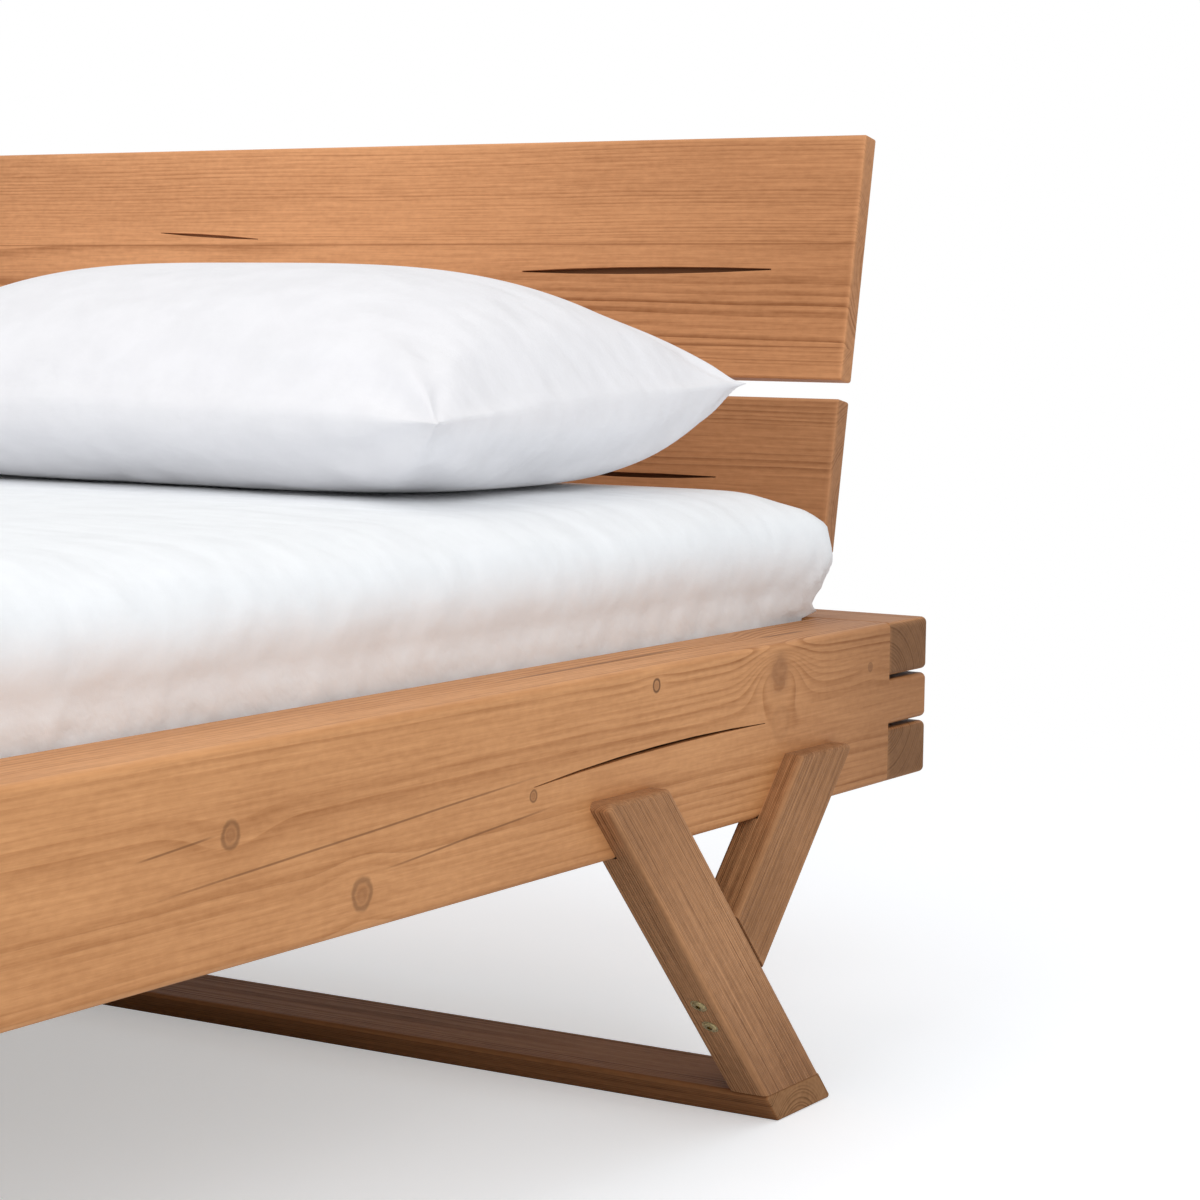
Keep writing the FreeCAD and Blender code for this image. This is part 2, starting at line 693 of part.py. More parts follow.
def skid(end):
    """Runner on the floor across the whole bed, its sloping sides in line with the long struts."""
    reach = "(%s + cheek_thickness)" % HALF_WIDTH
    low, high = strut_edge("0"), strut_edge("skid_height")
    corners = [(inside(end, low), "0"), (inside(end, high), "skid_height"),
               (inside(end, "%s + %s" % (high, STRUT_SPAN)), "skid_height"),
               (inside(end, "%s + %s" % (low, STRUT_SPAN)), "0")]
    name = end + "_skid"
    body = add_body(name)
    feature = pad(body, polygon(body, "YZ_Plane", "0 - %s" % reach, corners), "2 * %s" % reach)
    ease(body, feature, "skid_ease", lambda middle, direction: True)
    cutters = []
    for side in SIDES:
        cutters += bores("skid_screw", skid_screw_places(end, side), "skid_screw_head_height + cut_overrun")
    parts[name] = drilled(name, body, cutters)


# Headboard

def plank(name, foot, height, checks):
    """Leaning plank across the bed, in front of the posts, with its drying checks."""
    top = "%s + %s" % (foot, height)
    corners = [board_point(foot, "0 - plank_thickness"), board_point(top, "0 - plank_thickness"),
               board_point(top, "0"), board_point(foot, "0")]
    reach = "(%s - headboard_inset)" % HALF_WIDTH
    body = add_body(name)
    feature = pad(body, polygon(body, "YZ_Plane", "0 - %s" % reach, corners), "2 * %s" % reach)
    ease(body, feature, "plank_ease", lambda middle, direction: True)
    cutters = [plank_check(size, shares, foot, height) for size, shares in checks.items()]
    for side in SIDES:
        cutters += bores("plank_screw", plank_screw_places(side), "plank_screw_head_height")
    parts[name] = drilled(name, body, cutters)


def headboard_post(side):
    """Tapered post, upright behind the head beam and leaning above it."""
    rear = inside("head", "0 - post_depth")
    bend = "(%s - post_depth * tan(headboard_lean * 1 deg / 2))" % BEAM_TOP
    foot = "(%s - post_foot_drop)" % BEAM_TOP
    corners = [(FACES["head"], foot), (FACES["head"], BEAM_TOP), board_point(POST_RISE, "0"),
               board_point(POST_RISE, "post_tip_depth"), (rear, bend), (rear, foot)]
    name = "headboard_post_" + side
    body = add_body(name)
    start = "%s - post_thickness / 2" % (POST_MIDDLE % SIDES[side])
    feature = pad(body, polygon(body, "YZ_Plane", start, corners), "post_thickness")
    front = number(FACES["head"])
    ease(body, feature, "post_ease",
         lambda middle, direction: not along(direction, 0) and not touches_front(middle, front))
    cutters = bores("plank_screw", plank_screw_places(side), "plank_screw_sink + cut_overrun")
    cutters += bores("post_bolt", post_bolt_places(side), "post_bolt_head_height + cut_overrun")
    parts[name] = drilled(name, body, cutters)


def touches_front(middle, front):
    """True on the edges of a post that lie against the beam or the planks."""
    rise = middle.z - number(BEAM_TOP)
    slope = number("tan(headboard_lean * 1 deg)")
    return same(middle.y, front + max(rise, 0) * slope)


# Bed base

def ledger(side):
    sign = SIDES[side]
    ends = [inside(end, "beam_thickness + ledger_end_gap") for end in ("foot", "head")]
    xs = ["%d * %s" % (sign, INNER_HALF_WIDTH), "%d * (%s - ledger_width)" % (sign, INNER_HALF_WIDTH)]
    name = "ledger_" + side
    corners = rectangle((xs[0], "%s - ledger_height" % LEDGER_TOP), (xs[1], LEDGER_TOP))
    length = "%s - %s" % (ends[1], ends[0])
    body = block(name, "XZ_Plane", "0 - %s" % ends[1], corners, length, "base_ease", 1)
    cutters = bores("ledger_screw", ledger_screw_places(side), "ledger_screw_head_height + cut_overrun")
    cutters += bores("slat_screw", slat_screw_places(side), "slat_screw_head_height")
    parts[name] = drilled(name, body, cutters)


def hanger_inset():
    return "(beam_thickness + hanger_sheet)"


def centre_beam():
    """Middle rail under the inner ends of both rows of slats."""
    ends = [inside(end, hanger_inset()) for end in ("foot", "head")]
    half = "centre_beam_width / 2"
    corners = rectangle(("0 - " + half, CENTRE_BEAM_FOOT), (half, LEDGER_TOP))
    length = "%s - %s" % (ends[1], ends[0])
    body = block("centre_beam", "XZ_Plane", "0 - %s" % ends[1], corners, length, "base_ease", 1)
    cutters = []
    for side in SIDES:
        cutters += bores("slat_screw", slat_screw_places(side), "slat_screw_head_height")
    parts["centre_beam"] = drilled("centre_beam", body, cutters)


def centre_leg():
    half = "centre_leg_width / 2"
    corners = rectangle(("0 - " + half, "%s - %s" % (MIDDLE, half)), (half, "%s + %s" % (MIDDLE, half)))
    parts["centre_leg"] = block("centre_leg", "XY_Plane", "0", corners, CENTRE_BEAM_FOOT, "beam_ease", 2)


def hanger(end):
    """Folded steel shoe on the inner face of an end beam, open at the top, that holds the centre beam."""
    sign = OUTWARD[end]
    wide = "(centre_beam_width / 2 + hanger_fit)"
    foot = "(%s - hanger_sheet)" % CENTRE_BEAM_FOOT
    top = "(%s + hanger_height)" % foot
    outer = "(%s + hanger_sheet)" % wide
    shoe = [("0 - " + outer, foot), (outer, foot), (outer, top), (wide, top), (wide, CENTRE_BEAM_FOOT),
            ("0 - " + wide, CENTRE_BEAM_FOOT), ("0 - " + wide, top), ("0 - " + outer, top)]
    wing = "(%s + hanger_wing)" % outer
    name = "centre_beam_hanger_" + end
    body = add_body(name)
    level = "0 - %s" % inside(end, hanger_inset())
    plate = rectangle(("0 - " + wing, foot), (wing, top))
    pad(body, polygon(body, "XZ_Plane", level, plate), "hanger_sheet", sign > 0)
    pad(body, polygon(body, "XZ_Plane", level, shoe), "hanger_depth", sign < 0)
    cutters = bores("hanger_screw", hanger_screw_places(end), "hanger_screw_head_height")
    parts[name] = drilled(name, body, cutters)


def slat_row(side):
    """One row of slats from the ledger to the centre beam."""
    sign = SIDES[side]
    name = "slats_" + side
    length = "(%s - slat_end_gap - row_spacing / 2)" % INNER_HALF_WIDTH
    start = "%d * row_spacing / 2" % sign
    low = inside("foot", "beam_thickness + mattress_gap + slat_end_margin")
    corners = rectangle((low, LEDGER_TOP), ("%s + slat_width" % low, SLAT_TOP))
    body = add_body(name)
    first = pad(body, polygon(body, "YZ_Plane", start, corners), length, sign < 0)
    upper = number(SLAT_TOP)
    eased = ease(body, first, "slat_ease",
                 lambda middle, direction: along(direction, 0) and same(middle.z, upper))
    pattern = body.newObject("PartDesign::LinearPattern", name + "_row")
    pattern.Originals = [first, eased]
    pattern.Direction = ([axis for axis in body.Origin.OriginFeatures if axis.Role == "Y_Axis"][0], [""])
    run = "(mattress_length - 2 * slat_end_margin - slat_width)"
    pattern.setExpression("Length", bound(run))
    pattern.Occurrences = steps(run, "slat_pitch") + 1
    body.Tip = pattern
    doc.recompute()
    if len(body.Shape.Solids) != pattern.Occurrences:
        raise ValueError("a row has %d slats" % len(body.Shape.Solids))
    cutters = bores("slat_screw", slat_screw_places(side), "slat_screw_head_height + cut_overrun")
    parts[name] = drilled(name, body, cutters)


# Fasteners

def nut(seat, way, start):
    """Hexagon nut with its bore, from a distance along the bolt."""
    across = number("post_nut_width / sqrt(3)")
    height = number("post_nut_height")
    ring = [FreeCAD.Vector(across * math.cos(math.pi * step / 3), 0, across * math.sin(math.pi * step / 3))
            for step in range(7)]
    hexagon = Part.Face(Part.makePolygon([seat + way * start + corner for corner in ring]))
    hole = rod(number("post_bolt_diameter / 2 + bore_fit"), start - height, 3 * height, seat, way)
    return hexagon.extrude(way * height).cut(hole)


def fasteners():
    legs = [(end, side) for end in FACES for side in SIDES]
    group("corner_pins", [rod(number("corner_pin_diameter / 2"), 0, number("corner_pin_length"), place,
                              FreeCAD.Vector(0, 0, 1)) for place in corner_pin_places().values()])
    group("strut_screws", [solid for end, side in legs
                           for solid in screws("strut_screw", strut_screw_places(end, side))])
    group("leg_bolts", [solid for end, side in legs for edge in (strut_edge, fork_edge)
                        for solid in screws("leg_bolt", [leg_bolt_place(end, side, edge)])])
    group("skid_screws", [solid for end, side in legs
                          for solid in screws("skid_screw", skid_screw_places(end, side))])
    bolts = [place for side in SIDES for place in post_bolt_places(side)]
    group("post_bolts", screws("post_bolt", bolts))
    pocket = number("post_depth + beam_thickness - post_nut_pocket")
    group("post_nuts", [nut(seat, way, pocket) for seat, way, reach in bolts])
    group("plank_screws", [solid for side in SIDES
                           for solid in screws("plank_screw", plank_screw_places(side))])
    group("ledger_screws", [solid for side in SIDES
                            for solid in screws("ledger_screw", ledger_screw_places(side))])
    group("hanger_screws", [solid for end in FACES
                            for solid in screws("hanger_screw", hanger_screw_places(end))])
    group("slat_screws", [solid for side in SIDES
                          for solid in screws("slat_screw", slat_screw_places(side))])


# Bedding

def rounded_outline(half_x, half_y, corner, z):
    """Closed outline of four lines and four quarter arcs."""
    edges = []
    centres = [(half_x - corner, half_y - corner, 0), (corner - half_x, half_y - corner, 1),
               (corner - half_x, corner - half_y, 2), (half_x - corner, corner - half_y, 3)]
    arcs = []
    for x, y, quarter in centres:
        points = []
        for step in (0, 1, 2):
            angle = (quarter + step / 2) * math.pi / 2
            points.append(FreeCAD.Vector(x + corner * math.cos(angle), y + corner * math.sin(angle), z))
        arcs.append(points)
    for index, points in enumerate(arcs):
        edges.append(Part.Arc(*points).toShape())
        edges.append(Part.LineSegment(points[2], arcs[(index + 1) % len(arcs)][0]).toShape())
    return Part.Wire(edges)


def bowed_outline(half_x, half_y, bow, z):
    """Closed outline of four arcs between pointed corners, bowed out where positive and else drawn in."""
    corners = [(1, 1), (-1, 1), (-1, -1), (1, -1)]
    edges = []
    for index, (x, y) in enumerate(corners):
        next_x, next_y = corners[(index + 1) % len(corners)]
        start = FreeCAD.Vector(x * half_x, y * half_y, z)
        finish = FreeCAD.Vector(next_x * half_x, next_y * half_y, z)
        outward = FreeCAD.Vector((x + next_x) / 2, (y + next_y) / 2, 0)
        edges.append(Part.Arc(start, (start + finish) / 2 + outward * bow, finish).toShape())
    return Part.Wire(edges)


def soft_solid(name, outlines, at):
    holder = feature_of(name, Part.makeLoft(outlines, True, True))
    holder.Placement.Base = at
    parts[name] = holder


def mattress():
    """Mattress in its sheet: drawn in where it sits between the beams, bulging above them, softly crowned."""
    half_x, half_y = number("mattress_width / 2"), number("mattress_length / 2")
    height, recess, edge = number("mattress_height"), number("mattress_recess"), number("mattress_edge")
    draw, bulge, crown = number("mattress_draw"), number("mattress_bulge"), number("mattress_crown")
    levels = [(0, -draw - edge), (edge / 2, -draw - edge / 4), (edge, -draw), (recess, -draw)]
    levels += [(recess + (height - recess) * rise, -draw + (draw + bulge) * reach)
               for rise, reach in MATTRESS_SIDE_SHARES]
    levels += [(height - edge * left, -edge * drawn) for drawn, left in MATTRESS_EDGE_SHARES]
    levels += [(height + crown, -number("mattress_crown_inset"))]
    corner = number("mattress_corner")
    outlines = [rounded_outline(half_x + step, half_y + step, corner, z) for z, step in levels]
    soft_solid("mattress", outlines, point("0", MIDDLE, "%s - mattress_recess" % BEAM_TOP))


def pillow(side):
    """Plump pillow with pointed corners at its seam, resting on the mattress near the head."""
    reach_x, reach_y = number("pillow_width / 2"), number("pillow_depth / 2")
    height = number("pillow_height")
    outlines = [bowed_outline(reach_x * reach, reach_y * reach, 2 * reach_y * bow, height * rise)
                for rise, reach, bow in PILLOW_SHARES]
    setback = "beam_thickness + mattress_gap + pillow_head_gap + pillow_depth / 2"
    top = "%s - mattress_recess + mattress_height + mattress_crown + bedding_gap" % BEAM_TOP
    soft_solid("pillow_" + side, outlines,
               point("%d * pillow_middle" % SIDES[side], inside("head", setback), top))


def build():
    for side in SIDES:
        side_beam(side)
        ledger(side)
        headboard_post(side)
        slat_row(side)
        pillow(side)
    for end in FACES:
        end_beam(end)
        skid(end)
        hanger(end)
        for side in SIDES:
            leg(end, side)
    plank("headboard_lower_plank", LOWER_PLANK_FOOT, "lower_plank_height",
          {"lower_check": LOWER_CHECK_SHARES})
    plank("headboard_upper_plank", UPPER_PLANK_FOOT, "upper_plank_height",
          {"upper_check": UPPER_CHECK_SHARES, "middle_check": MIDDLE_CHECK_SHARES})
    centre_beam()
    centre_leg()
    fasteners()
    mattress()
    doc.recompute()


def check():
    for item in doc.Objects:
        if "Invalid" in item.State or "Error" in item.State:
            raise ValueError("%s failed: %s" % (item.Label, item.State))
    for name, item in parts.items():
        if item.Shape.isNull() or not item.Shape.isValid() or not item.Shape.Solids:
            raise ValueError(name + " has no valid solid")


def write():
    os.makedirs("parts", exist_ok=True)
    for name, item in parts.items():
        item.Shape.exportStep("parts/%s.step" % name)
        box = item.Shape.BoundBox
        print("%-26s %3d solids %8.0f cm3   x %7.1f %7.1f  y %7.1f %7.1f  z %7.1f %7.1f" % (
            name, len(item.Shape.Solids), item.Shape.Volume / 1000, box.XMin, box.XMax, box.YMin, box.YMax,
            box.ZMin, box.ZMax))


build()
check()
write()
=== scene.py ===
import math
from dataclasses import dataclass

import bmesh
import bpy
import numpy as np
from bpy.props import FloatProperty, FloatVectorProperty, PointerProperty
from mathutils import Matrix, Vector


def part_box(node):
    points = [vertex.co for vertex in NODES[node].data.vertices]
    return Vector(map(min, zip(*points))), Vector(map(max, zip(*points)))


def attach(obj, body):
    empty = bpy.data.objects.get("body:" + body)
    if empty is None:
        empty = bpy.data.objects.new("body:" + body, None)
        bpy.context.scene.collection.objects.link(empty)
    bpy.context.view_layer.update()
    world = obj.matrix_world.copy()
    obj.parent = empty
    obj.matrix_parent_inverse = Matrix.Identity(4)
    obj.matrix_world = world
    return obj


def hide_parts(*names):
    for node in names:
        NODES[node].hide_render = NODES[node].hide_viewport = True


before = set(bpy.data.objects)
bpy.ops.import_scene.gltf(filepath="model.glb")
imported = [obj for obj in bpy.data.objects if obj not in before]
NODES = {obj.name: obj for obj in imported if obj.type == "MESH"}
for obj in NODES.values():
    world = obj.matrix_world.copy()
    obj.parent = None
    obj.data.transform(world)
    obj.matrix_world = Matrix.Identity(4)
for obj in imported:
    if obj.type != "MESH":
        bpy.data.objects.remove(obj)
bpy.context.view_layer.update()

bl_info = {
    "name": "Beam bed",
    "version": (1, 0, 0),
    "blender": (4, 5, 0),
    "location": "View3D > Sidebar > Bed",
    "description": "Dresses a beam bed: its timber, bedding, screws and studio",
    "category": "Add Mesh",
}

MILLIMETRE = 0.001
RIGHT = Vector((1, 0, 0))
HEADWARD = Vector((0, 1, 0))
UP = Vector((0, 0, 1))

# Sockets of the Mix node when it mixes colours
MIX_FACTOR, MIX_FIRST, MIX_SECOND, MIX_RESULT = 0, 6, 7, 2
VECTOR_VALUE = 1

# How near points of a mesh are one point, and how deep the flat end of a screw goes
WELD = 0.01 * MILLIMETRE
END_DEPTH = 0.1 * MILLIMETRE

# How timber darkens near its ends: partly its own stain, partly painted shade where the light falls off towards them
END_SHADE_AND_STAIN = (0.56, 0.50, 0.42)


def linked(name, data):
    """A new object in the scene."""
    made = bpy.data.objects.new(name, data)
    bpy.context.scene.collection.objects.link(made)
    return made


# Settings that a user would change

def colour(name, description, default):
    return FloatVectorProperty(name=name, description=description, subtype="COLOR", size=3,
                               min=0.0, max=1.0, default=default)


def length(name, description, default):
    return FloatProperty(name=name, description=description, unit="LENGTH", subtype="DISTANCE", default=default)


def angle(name, description, default):
    return FloatProperty(name=name, description=description, subtype="ANGLE", default=math.radians(default))


class TimberSettings(bpy.types.PropertyGroup):
    """Colours and growth rings of the timber."""
    beam_light: colour("Beam early wood", "Pale wood of the beams", (0.695, 0.339, 0.141))
    beam_dark: colour("Beam late wood", "Dark growth lines of the beams", (0.37, 0.146, 0.046))
    board_light: colour("Headboard early wood", "Pale wood of the planks", (0.83, 0.398, 0.182))
    board_dark: colour("Headboard late wood", "Dark growth lines of the planks", (0.37, 0.141, 0.0485))
    leg_light: colour("Leg early wood", "Pale brushed wood of the struts", (0.61, 0.31, 0.146))
    leg_dark: colour("Leg late wood", "Dark growth lines of the struts", (0.196, 0.085, 0.033))
    skid_light: colour("Skid early wood", "Pale wood of the skids", (0.36, 0.161, 0.067))
    skid_dark: colour("Skid late wood", "Dark growth lines of the skids", (0.136, 0.054, 0.020))
    base_light: colour("Base early wood", "Pale wood of slats and ledgers", (0.66, 0.45, 0.25))
    base_dark: colour("Base late wood", "Dark growth lines of slats and ledgers", (0.46, 0.27, 0.125))
    knot: colour("Knots", "Heartwood of the knots", (0.17, 0.064, 0.024))
    ring_spacing: length("Ring spacing", "Mean distance of the growth rings", 0.0036)
    strut_angle: angle("Strut angle", "Rise of the struts from the floor", 47.0)
    board_lean: angle("Headboard lean", "How far the planks lean back", 10.5)


class BeddingSettings(bpy.types.PropertyGroup):
    """Cotton of the sheet and the pillows."""
    sheet: colour("Sheet", "White of the fitted sheet", (0.925, 0.945, 0.965))
    cotton: colour("Pillow cotton", "White of the pillows", (0.885, 0.88, 0.905))
    sheet_voxel: length("Sheet mesh", "Spacing of the mattress mesh", 0.019)
    sheet_swell: length("Sheet swell", "Furthest that the sheet may swell", 0.008)
    sheet_lift: length("Sheet lift", "How far the top of the sheet stands over the bare mattress", 0.005)
    slump: length("Slump", "How far the pillows sink under their full height", 0.006)
    gather: length("Gathers", "Depth of the gathers at the corners of the sheet", 0.006)
    pillow_step: length("Pillow mesh", "Spacing of the pillow mesh", 0.010)
    pillow_swell: length("Pillow swell", "Furthest that a pillow may swell", 0.010)
    seam: length("Seam", "How far the sewn edge of a pillow stands out", 0.003)


class ScrewSettings(bpy.types.PropertyGroup):
    """Screws of the legs and bolts of the headboard."""
    zinc: colour("Yellow zinc", "Plating of the leg screws", (0.62, 0.50, 0.26))
    steel: colour("Steel", "Bright steel of the hidden fasteners", (0.50, 0.51, 0.53))
    rim: length("Rim", "Thickness of the rim of a screw head", 0.0012)
    dome: length("Dome", "Height of a screw head over its rim", 0.0018)
    recess_depth: length("Recess depth", "Depth of the drive recess", 0.0024)


class StageSettings(bpy.types.PropertyGroup):
    """Camera and studio light."""
    camera_place: FloatVectorProperty(name="Camera place", description="Where the camera stands",
                                      subtype="TRANSLATION", size=3, default=(2.2806, -1.7076, 0.7457))
    camera_yaw: angle("Camera yaw", "Turn to the left from looking at the head", 31.51)
    camera_pitch: angle("Camera pitch", "Tilt below the horizon", 5.45)
    camera_roll: angle("Camera roll", "Tilt about the line of sight", 0.72)
    focal_length: FloatProperty(name="Focal length", description="Lens in millimetres", default=88.81)
    world_level: FloatProperty(name="Surround", description="Level of the even light", default=0.655)
    key_power: FloatProperty(name="Key light", description="Power of the large soft light", default=76.0)
    fill_power: FloatProperty(name="Fill light", description="Power of the light over the bed", default=18.0)


# Shader maths

def joined_by(operation):
    """A method that joins a term and another value by a maths node."""
    return lambda term, other: term.finish.maths(operation, term, other)


class Term:
    """A shader socket that takes part in Python arithmetic."""
    __add__ = __radd__ = joined_by("ADD")
    __sub__ = joined_by("SUBTRACT")
    __mul__ = joined_by("MULTIPLY")
    __truediv__ = joined_by("DIVIDE")
    __pow__ = joined_by("POWER")

    def __init__(self, finish, socket):
        self.finish = finish
        self.socket = socket

    def __rsub__(self, other):
        return self.finish.maths("SUBTRACT", other, self)

    def __neg__(self):
        return self * -1.0

    def __abs__(self):
        return self.finish.maths("ABSOLUTE", self)


class Finish:
    """A procedural material while its nodes are being laid out."""

    def __init__(self, name):
        self.material = bpy.data.materials.new(name)
        self.material.use_nodes = True
        self.tree = self.material.node_tree
        self.shader = self.tree.nodes["Principled BSDF"]

    def feed(self, socket, value):
        if isinstance(value, Term):
            self.tree.links.new(value.socket, socket)
        else:
            socket.default_value = value

    def node(self, kind, settings=None, inputs=None, output=0):
        """A node of that kind, with its settings set first and then its sockets."""
        made = self.tree.nodes.new(kind)
        for name, value in (settings or {}).items():
            setattr(made, name, value)
        for socket, value in (inputs or {}).items():
            self.feed(made.inputs[socket], value)
        return Term(self, made.outputs[output])

    def maths(self, operation, *values):
        return self.node("ShaderNodeMath", {"operation": operation}, dict(enumerate(values)))

    def place(self):
        return self.node("ShaderNodeTexCoord", output="Object")

    def facing(self):
        return self.node("ShaderNodeTexCoord", output="Normal")

    def dot(self, vector, direction):
        return self.node("ShaderNodeVectorMath", {"operation": "DOT_PRODUCT"}, {0: vector, 1: tuple(direction)},
                         VECTOR_VALUE)

    def vector(self, x, y, z):
        return self.node("ShaderNodeCombineXYZ", None, {0: x, 1: y, 2: z})

    def noise(self, vector, scale=1.0, detail=2.0, roughness=0.5):
        return self.node("ShaderNodeTexNoise", {"noise_dimensions": "3D"},
                         {"Vector": vector, "Scale": scale, "Detail": detail, "Roughness": roughness})

    def smooth(self, value, low, high):
        """0 below low, 1 above high and a smooth step between them."""
        return self.node("ShaderNodeMapRange", {"interpolation_type": "SMOOTHSTEP"},
                         {"Value": value, "From Min": low, "From Max": high})

    def mix(self, factor, first, second, blend="MIX"):
        def solid(value):
            return value if isinstance(value, Term) else (*value, 1.0)
        return self.node("ShaderNodeMix", {"data_type": "RGBA", "blend_type": blend, "clamp_factor": True},
                         {MIX_FACTOR: factor, MIX_FIRST: solid(first), MIX_SECOND: solid(second)}, MIX_RESULT)

    def bump(self, height, distance):
        return self.node("ShaderNodeBump", None, {"Height": height, "Distance": distance})

    def surface(self, **sockets):
        """Sets the shader's sockets, whose names are written with underscores."""
        for name, value in sockets.items():
            self.feed(self.shader.inputs[name.replace("_", " ")], value)
        return self.material


# Timber

# Second and third of a place's parts in a piece: along, across and out
ACROSS, OUT = 1, 2


class Cut:
    """How a piece lies in its log: its directions, its middle and half its size in each."""

    def __init__(self, node, grain, face):
        self.along = Vector(grain).normalized()
        self.out = Vector(face).normalized()
        self.across = self.out.cross(self.along)
        points = corners_of(NODES[node].data)
        spans = []
        for direction in (self.along, self.across, self.out):
            reach = points @ np.array(direction)
            spans.append((reach.min(), reach.max()))
        self.middle = [(low + high) / 2 for low, high in spans]
        self.half = [(high - low) / 2 for low, high in spans]


@dataclass
class Figure:
    """Growth figure of a piece: pith as shares of half its breadth, ring spacing, and how far the grain strays.

    The pith sways by a length along the piece, and the rings waver by a share of their spacing. A piece glued
    from boards has the joints between them as shares of half its breadth, and a pith, spacing and contrast for each.
    The least contrast of a ring is a share of the most. Fading goes from one place along the piece to another and
    leaves a share of the contrast before the first.
    """
    piths: tuple = ((-0.05, -0.7),)
    spacings: tuple = (1.0,)
    contrasts: tuple = (1.0,)
    joints: tuple = ()
    sway: float = 0.014
    waver: float = 0.9
    least: float = 0.15
    fading: tuple = None


@dataclass
class Knot:
    """A branch grown into a face: its place along and across it, size, tint, rim, and how far it bends the rings."""
    along: float
    across: float
    size: float
    tint: float
    rim: float
    swell: float
    reach: tuple


@dataclass
class Surface:
    """How a piece is finished: brushing, gloss, the share of its tone left at its ends, the darkening near them, partly
    stain and partly painted shade, and painted shade in its hollows.
    """
    brushed: float = 0.0
    gloss: float = 0.22
    end_share: tuple = (0.36, 0.35, 0.34)
    stain_and_shade: float = 0.0
    stain_and_shade_reach: float = 0.3
    # Whether the hollows of the piece get painted shade
    hollow_shade: bool = False


def dress(node, material):
    NODES[node].data.materials.clear()
    NODES[node].data.materials.append(material)


def stepped(finish, across, values, joints):
    """A value that changes from board to board."""
    level = values[0]
    for before, after, joint in zip(values, values[1:], joints):
        level = finish.maths("GREATER_THAN", across, joint) * (after - before) + level
    return level


def bell(finish, along, across, knot):
    """Level over a knot, falling to 0 over its reach."""
    length = (along - knot.along) / knot.reach[0]
    breadth = (across - knot.across) / knot.reach[1]
    return finish.maths("EXPONENT", -(length * length + breadth * breadth))


def growth_rings(finish, spot, cut, figure, spacing, seed, knots):
    """Late wood of the growth rings, from 0 to 1, round a pith that strays along the piece."""
    along, across, out = spot
    joints = [joint * cut.half[1] for joint in figure.joints]
    if joints:
        along = along + stepped(finish, across, [7.3 * board for board in range(len(joints) + 1)], joints)
    sides = stepped(finish, across, [side * cut.half[1] for side, depth in figure.piths], joints)
    depths = stepped(finish, across, [depth * cut.half[1] for side, depth in figure.piths], joints)
    drift = finish.noise(finish.vector(along * 1.1 + seed, across * 1.5, out * 1.5 + seed), detail=1.0)
    waver = finish.noise(finish.vector(along * 2.6 + seed, across * 11.0, out * 11.0), detail=2.0)
    side = across - sides + (drift - 0.5) * figure.sway
    depth = out - depths
    radius = (side * side + depth * depth) ** 0.5
    clear = 1.0
    for knot in knots:
        level = bell(finish, spot[0], across, knot)
        radius = radius + level * knot.swell
        clear = (1.0 - level ** 3) * clear
    rings = radius / stepped(finish, across, [spacing * share for share in figure.spacings], joints)
    rings = rings + (waver - 0.5) * figure.waver
    uneven = finish.noise(finish.vector(rings * 0.21, seed, seed), detail=3.0)
    turn = finish.maths("FRACT", rings + uneven * 3.0)
    late = finish.smooth(turn, 0.30, 0.88) * (1.0 - finish.smooth(turn, 0.90, 1.0)) * clear
    strength = finish.noise(finish.vector(rings * 0.37 + seed, along * 0.6, seed), detail=2.0)
    late = late * (figure.least + finish.smooth(strength, 0.36, 0.64) * (1.0 - figure.least))
    if figure.fading:
        start, end, share = figure.fading
        late = late * (finish.smooth(along, start, end) * (1.0 - share) + share)
    return late * stepped(finish, across, figure.contrasts, joints)


def knot_marks(finish, spot, knots, grit):
    """How much of a knot's heart, and of the dark rim round it, shows at a place."""
    along, across = spot[:2]
    heart, rim = 0.0, 0.0
    for knot in knots:
        if not knot.tint:
            continue
        length = along - knot.along
        breadth = across - knot.across
        span = (length * length + breadth * breadth) ** 0.5 / knot.size + (grit - 0.5) * 0.35
        lines = finish.maths("COSINE", span * 9.0 + grit * 4.0) * 0.2 + 0.8
        heart = (1.0 - finish.smooth(span, 0.1, 1.0)) * lines * knot.tint + heart
        rim = (1.0 - finish.smooth(abs(span - 0.85), 0.04, 0.32)) * knot.rim + rim
    return heart, rim


